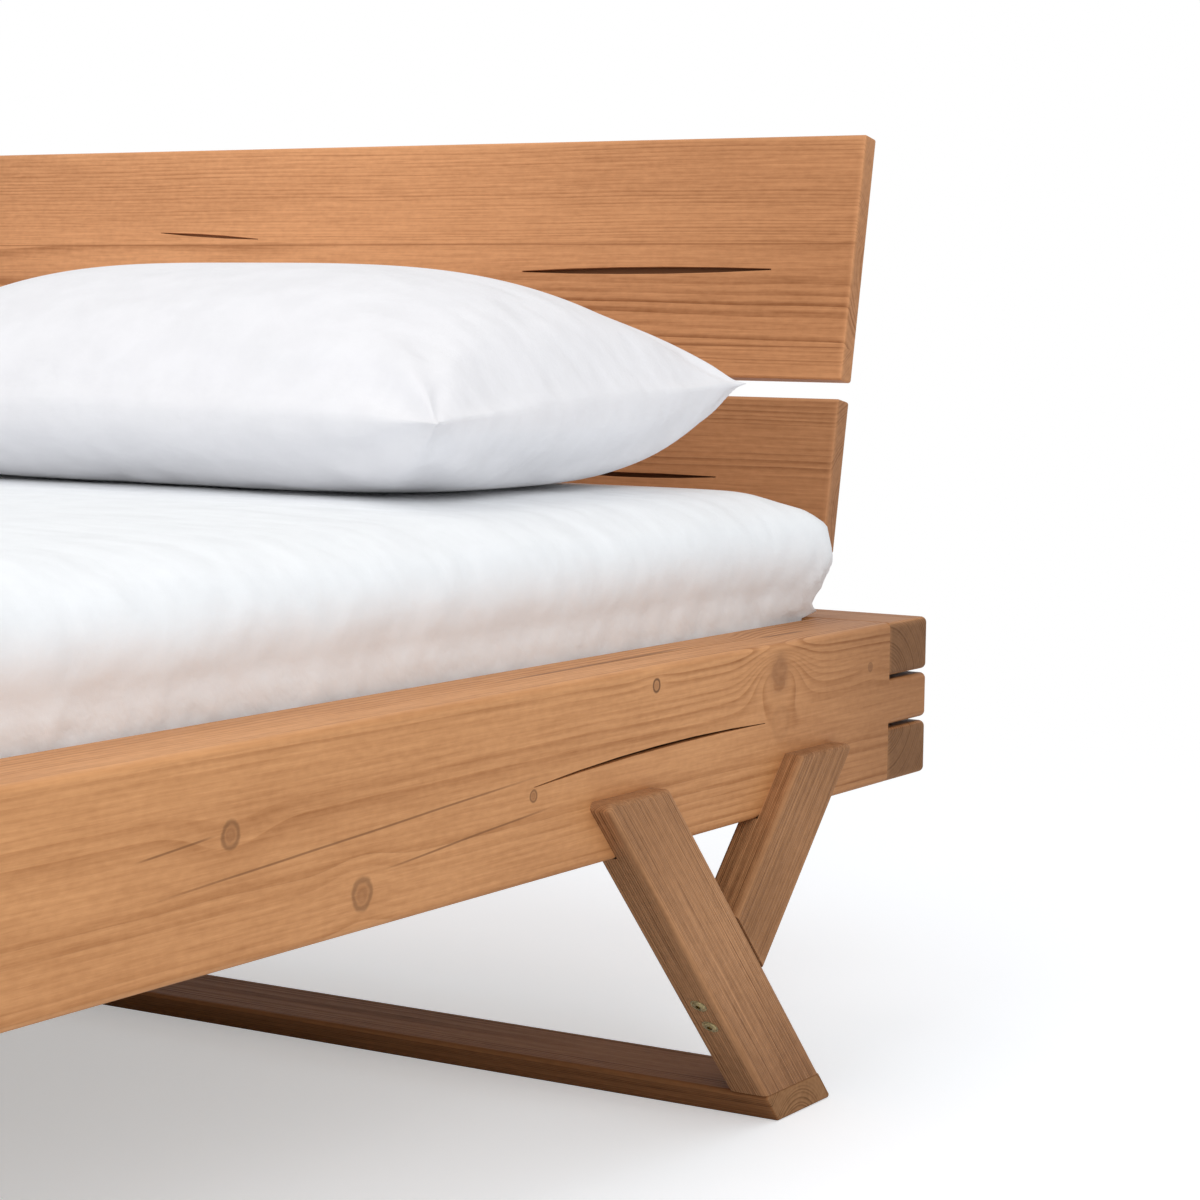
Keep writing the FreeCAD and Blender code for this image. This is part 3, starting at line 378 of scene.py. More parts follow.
def timber(node, grain, face, light, dark, spacing, figure=None, seed=0.0, surface=None, knots=(), heart=None,
           check_shades=()):
    """Dresses a node in oiled softwood: growth rings, fibres, knots, painted shade in checks and hollows, end grain and
    edges rubbed pale.

    Thin lines of painted shade stand in for hairline checks. Each runs between two places, given along and across the
    face, or along and out for the edges.
    """
    figure = figure or Figure()
    surface = surface or Surface()
    cut = Cut(node, grain, face)
    finish = Finish(node)
    place = finish.place()
    spot = [finish.dot(place, direction) - middle
            for direction, middle in zip((cut.along, cut.across, cut.out), cut.middle)]
    along, across, out = spot
    late = growth_rings(finish, spot, cut, figure, spacing, seed, knots)
    fine = 330.0 + 200.0 * surface.brushed
    long = 12.0 - 7.0 * surface.brushed
    fibre = finish.noise(finish.vector(along * long, across * fine, out * fine + seed), detail=4.0, roughness=0.65)
    cloud = finish.noise(finish.vector(along * 1.8 + seed, across * 11.0, out * 11.0), detail=2.0)
    grit = finish.noise(finish.vector(along * 90.0, across * 160.0, out * 160.0), detail=2.0)
    tone = (late * 0.62 + (fibre - 0.5) * (1.05 + 0.8 * surface.brushed) + (cloud - 0.5) * 0.8 + (grit - 0.5) * 0.4
            + 0.24)
    wood = finish.mix(tone, light, dark)
    gaps = [half - abs(part) for part, half in zip(spot, cut.half)]
    for joint in figure.joints:
        glue = 1.0 - finish.smooth(abs(across - joint * cut.half[1]), 0.0003, 0.0014)
        wood = finish.mix(glue * 0.6, wood, dark)
    if knots:
        core, rim = knot_marks(finish, spot, knots, grit)
        wood = finish.mix(core * 0.85, wood, finish.mix(grit, heart, [0.8 * part for part in dark]))
        wood = finish.mix(rim * 0.7, wood, [0.35 * part for part in dark])
    # Painted shade: a thin dark line along each hairline check
    for (start, level), (end, rise), axis, breadth in check_shades:
        line = (along - start) * ((rise - level) / (end - start)) + level + (cloud - 0.5) * 0.010
        check_shade = 1.0 - finish.smooth(abs(spot[axis] - line), 0.3 * breadth, breadth)
        fade = 0.25 * abs(end - start)
        within = finish.smooth(along, min(start, end), min(start, end) + fade)
        within = within * (1.0 - finish.smooth(along, max(start, end) - fade, max(start, end)))
        wood = finish.mix(check_shade * within * 0.7, wood, [0.5 * part for part in dark])
    if surface.stain_and_shade:
        # Darker towards the ends: partly stain, partly painted shade where the light falls off towards them
        near_end = 1.0 - finish.smooth(gaps[0] + (cloud - 0.5) * 0.4 * surface.stain_and_shade_reach, 0.0, surface.stain_and_shade_reach)
        wood = finish.mix(near_end * surface.stain_and_shade, wood, END_SHADE_AND_STAIN, "MULTIPLY")
    endwise = abs(finish.dot(finish.facing(), cut.along))
    ended = finish.smooth(endwise, 0.55, 0.85)
    end_tone = finish.mix(late * 0.55 + (grit - 0.5) * 0.6 + (cloud - 0.5) * 0.5 + 0.2,
                          [share * part for share, part in zip(surface.end_share, light)],
                          [0.9 * share * part for share, part in zip(surface.end_share, dark)])
    wood = finish.mix(ended, wood, end_tone)
    low = finish.maths("MINIMUM", gaps[0], gaps[1])
    high = finish.maths("MAXIMUM", gaps[0], gaps[1])
    edge = finish.maths("MAXIMUM", low, finish.maths("MINIMUM", high, gaps[2]))
    rubbed = (1.0 - finish.smooth(edge + (cloud - 0.5) * 0.006, 0.0, 0.008)) * 0.30
    wood = finish.mix(rubbed * (1.0 - ended * 0.5), wood, light)
    if surface.hollow_shade:
        # Painted shade: darker wherever the surface lies more than about 3 mm inside the outer faces, in checks,
        # notches, gaps between parts and on eased edges
        sunk = finish.smooth(finish.maths("MINIMUM", low, gaps[2]), 0.0028, 0.0080)
        wood = finish.mix(sunk, wood, [0.42 * part for part in dark])
    relief = late * 0.5 + fibre * (0.5 + surface.brushed)
    dress(node, finish.surface(
        Base_Color=wood,
        Roughness=0.52 + late * 0.10 + (fibre - 0.5) * 0.15 + ended * 0.12,
        Normal=finish.bump(relief, 0.0006),
        Specular_IOR_Level=surface.gloss,
    ))


def tones_of(timbers, kind):
    """Pale and dark tone of a kind of timber, and the spacing of its growth rings."""
    return getattr(timbers, kind + "_light")[:], getattr(timbers, kind + "_dark")[:], timbers.ring_spacing


# Operators

# Knots of the side beams: distance from the head face, height over the underside, size, tint, rim, bend, reach
BEAM_KNOTS = (
    (1.133, 0.096, 0.0105, 0.90, 0.80, 0.0030, (0.050, 0.022)),
    (0.977, 0.029, 0.0130, 0.85, 0.75, 0.0060, (0.040, 0.026)),
    (0.742, 0.072, 0.0055, 1.00, 1.00, 0.0016, (0.030, 0.012)),
    (0.547, 0.143, 0.0064, 0.80, 1.30, -0.0020, (0.030, 0.014)),
    (0.131, 0.120, 0.0050, 0.90, 0.60, -0.0020, (0.040, 0.016)),
    (0.321, 0.133, 0.0270, 0.95, 0.06, -0.0180, (0.050, 0.028)),
    (0.317, 0.085, 0.0170, 0.14, 0.14, 0.0, (0.036, 0.022)),
    (1.560, 0.060, 0.0090, 0.80, 0.70, 0.0056, (0.060, 0.030)),
    (1.890, 0.110, 0.0060, 0.80, 0.70, 0.0040, (0.060, 0.024)),
)

# Painted shade along the hairline checks of the side beams, on the face and on top: both ends as distance from the head
# face and height over the underside, or distance from the outer face
BEAM_CHECK_SHADES = (((1.250, 0.058), (0.700, 0.088)), ((1.145, 0.096), (1.240, 0.090)), ((0.965, 0.042), (0.700, 0.060)))
BEAM_TOP_CHECK_SHADES = (((0.740, 0.047), (0.380, 0.053)), ((0.300, 0.038), (0.200, 0.036)))
FACE_CHECK_SHADE_BREADTH, TOP_CHECK_SHADE_BREADTH = 0.0012, 0.0040


class BED_OT_beams(bpy.types.Operator):
    """Gives the four beams their timber"""
    bl_idname = "bed.beams"
    bl_label = "Dress the beams"

    def execute(self, context):
        timbers = context.scene.bed_timber
        tones = tones_of(timbers, "beam")
        low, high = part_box("side_beam_right")
        half = [(far - near) / 2 for near, far in zip(low, high)]
        surface = Surface(stain_and_shade=0.85, stain_and_shade_reach=0.42, hollow_shade=True)

        def on_face(setback, height, turn):
            return half[1] - setback, turn * (height - half[2])

        def on_top(setback, inset):
            return half[1] - setback, half[0] - inset

        for seed, (side, turn) in enumerate((("right", 1), ("left", -1))):
            knots = [Knot(*on_face(setback, height, turn), *traits) for setback, height, *traits in BEAM_KNOTS]
            check_shades = [(on_face(*start, turn), on_face(*end, turn), ACROSS, FACE_CHECK_SHADE_BREADTH)
                     for start, end in BEAM_CHECK_SHADES]
            check_shades += [(on_top(*start), on_top(*end), OUT, TOP_CHECK_SHADE_BREADTH) for start, end in BEAM_TOP_CHECK_SHADES]
            node = "side_beam_" + side
            timber(node, HEADWARD, turn * RIGHT, *tones, Figure(fading=(0.35, 0.75, 0.6)), 1.7 + seed * 3.1, surface,
                   knots, timbers.knot[:], check_shades)
        for seed, (end, turn) in enumerate((("head", 1), ("foot", -1))):
            node = end + "_beam"
            timber(node, RIGHT, turn * HEADWARD, *tones, seed=5.3 + seed * 2.9, surface=surface)
        return {"FINISHED"}


class BED_OT_legs(bpy.types.Operator):
    """Gives the struts their brushed timber and the skids their dull timber"""
    bl_idname = "bed.legs"
    bl_label = "Dress the legs"

    def execute(self, context):
        timbers = context.scene.bed_timber
        tones = tones_of(timbers, "leg")
        rise = timbers.strut_angle
        figure = Figure(piths=((2.6, -1.9),), spacings=(0.34,), contrasts=(0.85,), sway=0.004, waver=0.6, least=0.6)
        brushed = Surface(brushed=0.9, gloss=0.12, end_share=(0.8, 0.8, 0.8), stain_and_shade=0.55, stain_and_shade_reach=0.26)
        dull = Surface(gloss=0.02, end_share=(1.1, 1.3, 1.5))
        seed = 11.0
        for end, way in (("head", 1), ("foot", -1)):
            for side, face in (("right", RIGHT), ("left", -RIGHT)):
                for kind, slope in (("long", -1), ("short", 1)):
                    node = "%s_%s_strut_%s" % (end, kind, side)
                    grain = Vector((0, way * math.cos(rise), slope * math.sin(rise)))
                    timber(node, grain, face, *tones, figure, seed, brushed)
                    seed += 1.3
            node = end + "_skid"
            timber(node, RIGHT, UP, *tones_of(timbers, "skid"), Figure(), seed, dull)
            seed += 1.3
        return {"FINISHED"}


class BED_OT_headboard(bpy.types.Operator):
    """Gives the leaning planks and their posts their timber"""
    bl_idname = "bed.headboard"
    bl_label = "Dress the headboard"

    def execute(self, context):
        timbers = context.scene.bed_timber
        tones = tones_of(timbers, "board")
        lean = timbers.board_lean
        front = Vector((0, -math.cos(lean), math.sin(lean)))
        surface = Surface(end_share=(0.7, 0.7, 0.7), stain_and_shade=0.55, stain_and_shade_reach=0.75, hollow_shade=True)
        figures = {
            "upper": Figure(piths=((-2.2, -1.2), (-0.05, -0.42), (1.8, -1.0)), spacings=(0.9, 1.9, 0.85),
                            contrasts=(0.6, 1.1, 0.5), joints=(-0.74, 0.108), sway=0.024, waver=1.4),
            "lower": Figure(piths=((-0.5, -0.9),), contrasts=(0.7,)),
        }
        for seed, (which, figure) in enumerate(figures.items()):
            node = "headboard_%s_plank" % which
            # The lower plank gets darker copies of the plank tones: painted shade where the pillows keep the light off
            # it
            painted_shade_level = 1.0 if which == "upper" else 0.78
            painted_shade_tones = [[painted_shade_level * part for part in tone] for tone in tones[:2]]
            timber(node, RIGHT, front, *painted_shade_tones, tones[2], figure, 21.0 + seed, surface)
        stem = Vector((0, math.sin(lean), math.cos(lean)))
        for seed, side in enumerate(("right", "left")):
            node = "headboard_post_" + side
            timber(node, stem, RIGHT, *tones, seed=25.0 + seed)
        return {"FINISHED"}


class BED_OT_base(bpy.types.Operator):
    """Gives the slats, ledgers, centre beam and its leg their pale timber"""
    bl_idname = "bed.base"
    bl_label = "Dress the bed base"

    def execute(self, context):
        timbers = context.scene.bed_timber
        tones = tones_of(timbers, "base")
        grains = {"slats": RIGHT, "ledger": HEADWARD}
        for seed, (kind, grain) in enumerate(grains.items()):
            for side in ("right", "left"):
                node = "%s_%s" % (kind, side)
                timber(node, grain, UP, *tones, seed=31.0 + seed)
        timber("centre_beam", HEADWARD, RIGHT, *tones, seed=35.0)
        timber("centre_leg", UP, RIGHT, *tones, seed=36.0)
        return {"FINISHED"}


def metal(name, tone, roughness):
    """Plated metal with faint stains and rubbed spots."""
    finish = Finish(name)
    place = finish.place()
    stain_and_shade = finish.noise(place, scale=420.0, detail=3.0)
    scuff = finish.noise(place, scale=2400.0, detail=2.0)
    deep = [0.62 * part for part in tone]
    return finish.surface(
        Base_Color=finish.mix(finish.smooth(stain_and_shade, 0.35, 0.7), tone, deep),
        Roughness=roughness + (scuff - 0.5) * 0.25,
        Normal=finish.bump(scuff, 0.00005),
        Metallic=1.0,
    )


class BED_OT_fasteners(bpy.types.Operator):
    """Gives the plain bolts, nuts, screws and hangers their steel, and the corner pins their wood"""
    bl_idname = "bed.fasteners"
    bl_label = "Dress the fasteners"

    def execute(self, context):
        screws = context.scene.bed_screws
        steel = metal("fastener_steel", screws.steel[:], 0.38)
        plate = metal("hanger_steel", screws.steel[:], 0.5)
        for node in ("leg_bolts", "skid_screws", "post_nuts", "plank_screws", "ledger_screws",
                     "hanger_screws", "slat_screws"):
            dress(node, steel)
        for end in ("head", "foot"):
            dress("centre_beam_hanger_" + end, plate)
        timbers = context.scene.bed_timber
        tones = tones_of(timbers, "leg")
        timber("corner_pins", UP, RIGHT, *tones, seed=41.0)
        return {"FINISHED"}


# Screw heads

# Breadth of the head whose dome has the set height. Others are in proportion
DOME_HEAD = 0.016


def screw_tree():
    """Node tree that sets a domed, star-driven head and its shank at each point, along the point's axis."""
    tree = bpy.data.node_groups.new("domed_screws", "GeometryNodeTree")
    sockets = tree.interface
    sockets.new_socket("Geometry", in_out="INPUT", socket_type="NodeSocketGeometry")
    for name in ("Head", "Rim", "Dome", "Recess Depth", "Shank", "Reach"):
        sockets.new_socket(name, in_out="INPUT", socket_type="NodeSocketFloat")
    sockets.new_socket("Geometry", in_out="OUTPUT", socket_type="NodeSocketGeometry")

    def node(kind, settings=None, **inputs):
        made = tree.nodes.new(kind)
        for name, value in (settings or {}).items():
            setattr(made, name, value)
        for name, value in inputs.items():
            for source in value if isinstance(value, list) else [value]:
                socket = made.inputs[name.replace("_", " ")]
                if isinstance(source, bpy.types.NodeSocket):
                    tree.links.new(source, socket)
                else:
                    socket.default_value = source
        return made.outputs[0]

    def scaled(socket, share):
        made = tree.nodes.new("ShaderNodeMath")
        made.operation = "MULTIPLY"
        tree.links.new(socket, made.inputs[0])
        made.inputs[1].default_value = share
        return made.outputs[0]

    def upright(height):
        return node("ShaderNodeCombineXYZ", Z=height)

    given = tree.nodes.new("NodeGroupInput").outputs
    rim = node("GeometryNodeMeshCylinder", Vertices=48, Radius=scaled(given["Head"], 0.5), Depth=given["Rim"])
    rim = node("GeometryNodeTransform", Geometry=rim, Translation=upright(scaled(given["Rim"], -0.5)))
    ball = node("GeometryNodeMeshUVSphere", Segments=40, Rings=20, Radius=1.0)
    breadth = scaled(given["Head"], 0.40)
    size = node("ShaderNodeCombineXYZ", X=breadth, Y=breadth, Z=given["Dome"])
    dome = node("GeometryNodeTransform", Geometry=ball, Scale=size)
    shank = node("GeometryNodeMeshCylinder", Vertices=24, Radius=scaled(given["Shank"], 0.5), Depth=given["Reach"])
    shank = node("GeometryNodeTransform", Geometry=shank, Translation=upright(scaled(given["Reach"], -0.5)))
    whole = node("GeometryNodeMeshBoolean", {"operation": "UNION"}, Mesh_2=[rim, dome, shank])
    wedge = node("GeometryNodeMeshCylinder", Vertices=3, Radius=scaled(given["Head"], 0.22),
                 Depth=scaled(given["Recess Depth"], 2.0))
    lift = upright(given["Dome"])
    star = [node("GeometryNodeTransform", Geometry=wedge, Translation=lift, Rotation=(0.0, 0.0, turn))
            for turn in (0.0, math.pi / 3)]
    whole = node("GeometryNodeMeshBoolean", {"operation": "DIFFERENCE"}, Mesh_1=whole, Mesh_2=star)
    points = node("GeometryNodeMeshToPoints", Mesh=given["Geometry"])
    axis = node("GeometryNodeInputNamedAttribute", {"data_type": "FLOAT_VECTOR"}, Name="axis")
    turned = node("FunctionNodeAlignRotationToVector", {"axis": "Z"}, Vector=axis)
    many = node("GeometryNodeInstanceOnPoints", Points=points, Instance=whole, Rotation=turned)
    solid = node("GeometryNodeRealizeInstances", Geometry=many)
    end = tree.nodes.new("NodeGroupOutput")
    tree.links.new(solid, end.inputs["Geometry"])
    return tree


def welded(mesh):
    """A copy of a mesh to work on, with its split points joined."""
    work = bmesh.new()
    work.from_mesh(mesh)
    bmesh.ops.remove_doubles(work, verts=work.verts, dist=WELD)
    return work


def loose_parts(node):
    """Corner points of each separate solid of a node."""
    work = welded(NODES[node].data)
    left = set(work.verts)
    parts = []
    while left:
        front = [left.pop()]
        part = []
        while front:
            corner = front.pop()
            part.append(tuple(corner.co))
            near = {edge.other_vert(corner) for edge in corner.link_edges} & left
            left -= near
            front += near
        parts.append(np.array(part))
    work.free()
    return sorted(parts, key=lambda part: tuple(part.mean(0)))


def set_screws(name, node, out_of, tree, screws, material):
    """Replaces a node of plain screws by screws with finished heads, each along the way out of its wood."""
    tops, axes = [], []
    for part in loose_parts(node):
        axis = np.array(out_of(part.mean(0)))
        rise = part @ axis
        top = part[rise > rise.max() - END_DEPTH]
        foot = part[rise < rise.min() + END_DEPTH]
        head = 2 * np.linalg.norm(top - top.mean(0), axis=1).max()
        shank = 2 * np.linalg.norm(foot - foot.mean(0), axis=1).max()
        tops.append(top.mean(0))
        axes.append(axis)
    mesh = bpy.data.meshes.new(name)
    mesh.from_pydata(tops, [], [])
    mesh.attributes.new("axis", "FLOAT_VECTOR", "POINT").data.foreach_set("vector", np.ravel(axes))
    piece = linked(name, mesh)
    values = {"Head": head, "Rim": screws.rim, "Dome": screws.dome * head / DOME_HEAD, "Shank": shank,
              "Recess Depth": screws.recess_depth, "Reach": float(np.ptp(rise))}
    modifier = piece.modifiers.new("Screws", "NODES")
    modifier.node_group = tree
    for item in tree.interface.items_tree:
        if item.in_out == "INPUT" and item.name in values:
            modifier[item.identifier] = values[item.name]
    baked(piece)
    if not piece.data.polygons:
        raise RuntimeError("no screws were made for " + node)
    shade_smooth(piece, material)
    piece.data.set_sharp_from_angle(angle=math.radians(35))
    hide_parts(node)
    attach(piece, "frame")


class BED_OT_screws(bpy.types.Operator):
    """Makes the domed screws of the legs and bolts of the headboard"""
    bl_idname = "bed.screws"
    bl_label = "Make the screws"

    def execute(self, context):
        screws = context.scene.bed_screws
        rise = context.scene.bed_timber.strut_angle
        tree = screw_tree()

        def from_strut(place):
            return 0.0, -math.copysign(math.sin(rise), place[1]), -math.cos(rise)

        set_screws("strut_screw_heads", "strut_screws", from_strut, tree, screws,
                   metal("yellow_zinc", screws.zinc[:], 0.32))
        set_screws("post_bolt_heads", "post_bolts", lambda place: tuple(HEADWARD), tree, screws,
                   metal("bolt_steel", screws.steel[:], 0.34))
        return {"FINISHED"}


# Bedding

# How far the corners of the sheet are drawn out at rises over the beams, both in metres
SQUARE_RISES = (-0.030, 0.0, 0.006, 0.026, 0.045, 0.080, 0.105, 0.125)
SQUARE_PUSHES = (0.0, 0.026, 0.028, 0.031, 0.017, 0.010, 0.016, 0.006)


def cotton(name, tone, hem=None):
    """White cotton with a fine weave and soft crumples, and perhaps small pulls over a hem: its level and reach."""
    finish = Finish(name)
    place = finish.place()
    crumple = finish.noise(place, scale=26.0, detail=4.0, roughness=0.55)
    folds = finish.noise(finish.vector(finish.dot(place, (7.0, 4.0, 0.0)), finish.dot(place, (-3.0, 11.0, 2.0)),
                                       finish.dot(place, (1.0, 0.0, 9.0))), detail=2.0)
    weave = finish.noise(place, scale=1500.0, detail=1.0)
    # A little darker in the hollows of the crumples: painted shade
    white = finish.mix(finish.smooth(crumple, 0.3, 0.7), [0.965 * part for part in tone], tone)
    relief = folds * 7.0 + crumple * 0.9 + weave * 0.1
    if hem:
        level, reach = hem
        rise = finish.dot(place, UP) - level
        pulls = finish.noise(finish.vector(finish.dot(place, (34.0, 0.0, 17.0)), finish.dot(place, (0.0, 34.0, 17.0)),
                                           rise * 20.0), detail=3.0)
        relief = relief + pulls * (1.0 - finish.smooth(rise, 0.0, reach)) * 1.7
    return finish.surface(
        Base_Color=white,
        Roughness=0.86 + (weave - 0.5) * 0.1,
        Normal=finish.bump(relief, 0.0018),
        Specular_IOR_Level=0.2,
        Sheen_Weight=0.15,
        Sheen_Roughness=0.5,
    )


def merged_copy(node, name):
    """A welded copy of a node's mesh in a new object."""
    mesh = NODES[node].data.copy()
    mesh.name = name
    work = welded(mesh)
    bmesh.ops.recalc_face_normals(work, faces=work.faces)
    work.to_mesh(mesh)
    work.free()
    mesh.materials.clear()
    return linked(name, mesh)


def baked(piece):
    """Replaces a piece's mesh by what its modifiers make of it, and removes them."""
    graph = bpy.context.evaluated_depsgraph_get()
    mesh = bpy.data.meshes.new_from_object(piece.evaluated_get(graph))
    piece.modifiers.clear()
    old = piece.data
    piece.data = mesh
    mesh.name = piece.name
    bpy.data.meshes.remove(old)


def divided(piece):
    """Divides the faces of a piece in four and rounds it."""
    divide = piece.modifiers.new("Divide", "SUBSURF")
    divide.levels = divide.render_levels = 1
    baked(piece)


def corners_of(mesh):
    points = np.zeros(len(mesh.vertices) * 3)
    mesh.vertices.foreach_get("co", points)
    return points.reshape(-1, 3)


def set_corners(mesh, points):
    mesh.vertices.foreach_set("co", points.ravel())
    mesh.update()


def blown(piece, pressure, frames, bending):
    """Swells a closed mesh like stuffed cloth, and returns its points at the end."""
    cloth = piece.modifiers.new("Cloth", "CLOTH")
    cloth.settings.quality = 5
    cloth.settings.mass = 0.3
    cloth.settings.bending_stiffness = bending
    cloth.settings.use_pressure = True
    cloth.settings.uniform_pressure_force = pressure
    cloth.settings.effector_weights.gravity = 0.0
    cloth.collision_settings.use_collision = False
    cloth.point_cache.frame_start = 1
    cloth.point_cache.frame_end = frames
    scene = bpy.context.scene
    for step in range(1, frames + 1):
        scene.frame_set(step)
    graph = bpy.context.evaluated_depsgraph_get()
    points = corners_of(piece.evaluated_get(graph).data).copy()
    piece.modifiers.remove(cloth)
    scene.frame_set(1)
    return points


def shade_smooth(piece, material):
    piece.data.materials.clear()
    piece.data.materials.append(material)
    piece.data.polygons.foreach_set("use_smooth", np.ones(len(piece.data.polygons), bool))
    piece.data.update()


def eased(value, low, high):
    """0 below low, 1 above high and a smooth step between them."""
    share = np.clip((value - low) / (high - low), 0.0, 1.0)
    return share * share * (3.0 - 2.0 * share)


def capped(points, swollen, most):
    """Points moved towards their swollen places, each by no more than a length."""
    moves = swollen - points
    far = np.linalg.norm(moves, axis=1, keepdims=True)
    return points + moves * np.minimum(1.0, most / np.maximum(far, most * 1e-6))


def normals_of(mesh):
    found = np.zeros(len(mesh.vertices) * 3, np.float32)
    mesh.vertex_normals.foreach_get("vector", found)
    return found.reshape(-1, 3).astype(float)


def sheet_places(mesh, low, high, beam_top):
    """Points of the sheet, how far each is in from its sides, and how far over the beams."""
    points = corners_of(mesh)
    inset = ((high - low) / 2)[:2] - np.abs(points[:, :2] - ((high + low) / 2)[:2])
    return points, inset, points[:, 2] - beam_top


def gathered(mesh, low, high, beam_top, depth):
    """Sheet drawn in folds at the four upright corners and crumpled where it meets the beams."""
    points, inset, rise = sheet_places(mesh, low, high, beam_top)
    turn = inset[:, 1] - inset[:, 0]
    from_corner = inset.sum(1)
    fold_rise = eased(rise, -0.006, 0.004) * (1.0 - eased(rise, 0.030, 0.100))
    near_corner = np.exp(-(from_corner / 0.085) ** 2)
    wave = turn + 0.30 * rise
    folds = np.sin(wave * 165.0) + 0.6 * np.sin(wave * 262.0 + 1.3)
    along = points[:, 1] * np.sign(points[:, 0]) * 1.13 + points[:, 0] * np.sign(points[:, 1])
    crumple_rise = eased(rise, -0.004, 0.003) * (1.0 - eased(rise, 0.010, 0.045))
    crumples = np.sin(along * 61.0) + np.sin(along * 97.0 + 1.7) + np.sin(along * 159.0 + 0.6)
    patches = 0.5 + 0.5 * np.sin(along * 7.3 + 2.0)
    lift = depth * (0.5 * near_corner * fold_rise * (folds - 0.8) + 0.16 * patches * crumple_rise * crumples)
    set_corners(mesh, points + normals_of(mesh) * lift[:, None])


def squared(mesh, low, high, beam_top, lift):
    """Sheet drawn square at its four corners, between the beams and above them, and raised a little."""
    points, inset, rise = sheet_places(mesh, low, high, beam_top)
    outward = np.sign(points[:, :2] - ((high + low) / 2)[:2])
    near_corner = np.exp(-(np.maximum(inset.sum(1) - 0.03, 0.0) / 0.06) ** 2)
    push = np.interp(rise, SQUARE_RISES, SQUARE_PUSHES) * near_corner
    sunk = points[rise < -0.02, :2]
    points[:, :2] += outward * push[:, None]
    within = rise < 0.002
    points[within, :2] = np.clip(points[within, :2], sunk.min(0), sunk.max(0))
    points[:, 2] += lift * eased(rise, 0.004, 0.03)
    set_corners(mesh, points)


def tucked_corner(mesh, high, beam_top):
    """A small corner of the sheet that lies out on the head beam at the right."""
    reach, inset, breadth = 0.022, 0.030, 0.018
    points = corners_of(mesh)
    rise = points[:, 2] - beam_top
    level = np.exp(-((rise - 0.002) / 0.006) ** 2) * eased(rise, 0.0005, 0.003)
    across = np.exp(-((points[:, 0] - high[0] + inset) / breadth) ** 2)
    at_head = eased(points[:, 1], high[1] - 0.060, high[1] - 0.035)
    points[:, 1] += reach * level * across * at_head
    set_corners(mesh, points)


class BED_OT_mattress(bpy.types.Operator):
    """Makes the mattress in its fitted sheet"""
    bl_idname = "bed.mattress"
    bl_label = "Make the mattress"

    def execute(self, context):
        bedding = context.scene.bed_bedding
        low, high = (np.array(corner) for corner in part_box("mattress"))
        beam_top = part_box("side_beam_right")[1][2]
        piece = merged_copy("mattress", "mattress_in_sheet")
        remesh = piece.modifiers.new("Remesh", "REMESH")
        remesh.mode = "VOXEL"
        remesh.voxel_size = bedding.sheet_voxel
        baked(piece)
        points = corners_of(piece.data)
        swollen = capped(points, blown(piece, 4.0, 16, 2.0), bedding.sheet_swell)
        free = eased(points[:, 2], beam_top, beam_top + 0.03)[:, None]
        flat = eased(high[2] - points[:, 2], 0.0, 0.02)[:, None]
        set_corners(piece.data, points + (swollen - points) * free * flat)
        divided(piece)
        squared(piece.data, low, high, beam_top, bedding.sheet_lift)
        gathered(piece.data, low, high, beam_top, bedding.gather)
        tucked_corner(piece.data, high, beam_top)
        hem = beam_top, 0.42 * (high[2] - beam_top)
        shade_smooth(piece, cotton("sheet_cotton", bedding.sheet[:], hem))
        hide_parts("mattress")
        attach(piece, "mattress")
        return {"FINISHED"}


# How sharply a pillow falls off across and down, how full it is between, and how far its lower edge bulges
FALL_ACROSS, FALL_DOWN, FULLNESS = 3.9, 2.6, 0.86
BULGE = 0.014


def pillow_case(name, size, step):
    """Two filled panels that share their sewn edge: plump in the middle and pointed at the corners.

    Its middle is at the origin and it rests on the floor there. Also gives which points are on the upper panel
    and which on the sewn edge.
    """
    columns, rows = round(size[0] / step), round(size[1] / step)

    def spread(count):
        even = np.linspace(-1, 1, count + 1)
        return 0.55 * np.sin(even * math.pi / 2) + 0.45 * even

    across, down = spread(columns), spread(rows)
    points, upper, sewn = [], [], []
    index = {}
    for layer in (1, -1):
        for row, v in enumerate(down):
            for column, u in enumerate(across):
                edge = row in (0, rows) or column in (0, columns)
                if edge and layer < 0:
                    index[layer, row, column] = index[1, row, column]
                    continue
                index[layer, row, column] = len(points)
                full = ((1 - abs(u) ** FALL_ACROSS) * (1 - abs(v) ** FALL_DOWN)) ** FULLNESS
                seam = size[2] * (0.40 + 0.075 * v + 0.04 * (1 - u * u))
                height = seam + (size[2] - seam) * full if layer > 0 else seam * (1 - full) ** 2.6
                bulge = 0.0 if layer > 0 else BULGE * math.sin(math.pi * (1 - height / seam))
                points.append((u * size[0] / 2 * (1 - 0.03 * (1 - v * v)) + bulge * u ** 7,
                               v * size[1] / 2 * (1 - 0.04 * (1 - u * u)) + bulge * v ** 7, height))
                upper.append(layer > 0)
                sewn.append(edge)
    faces = []
    for layer in (1, -1):
        for row in range(rows):
            for column in range(columns):
                loop = [index[layer, row, column], index[layer, row, column + 1],
                        index[layer, row + 1, column + 1], index[layer, row + 1, column]]
                faces.append(loop[::layer])
    mesh = bpy.data.meshes.new(name)
    mesh.from_pydata(points, [], faces)
    return linked(name, mesh), np.array(upper), np.array(sewn)


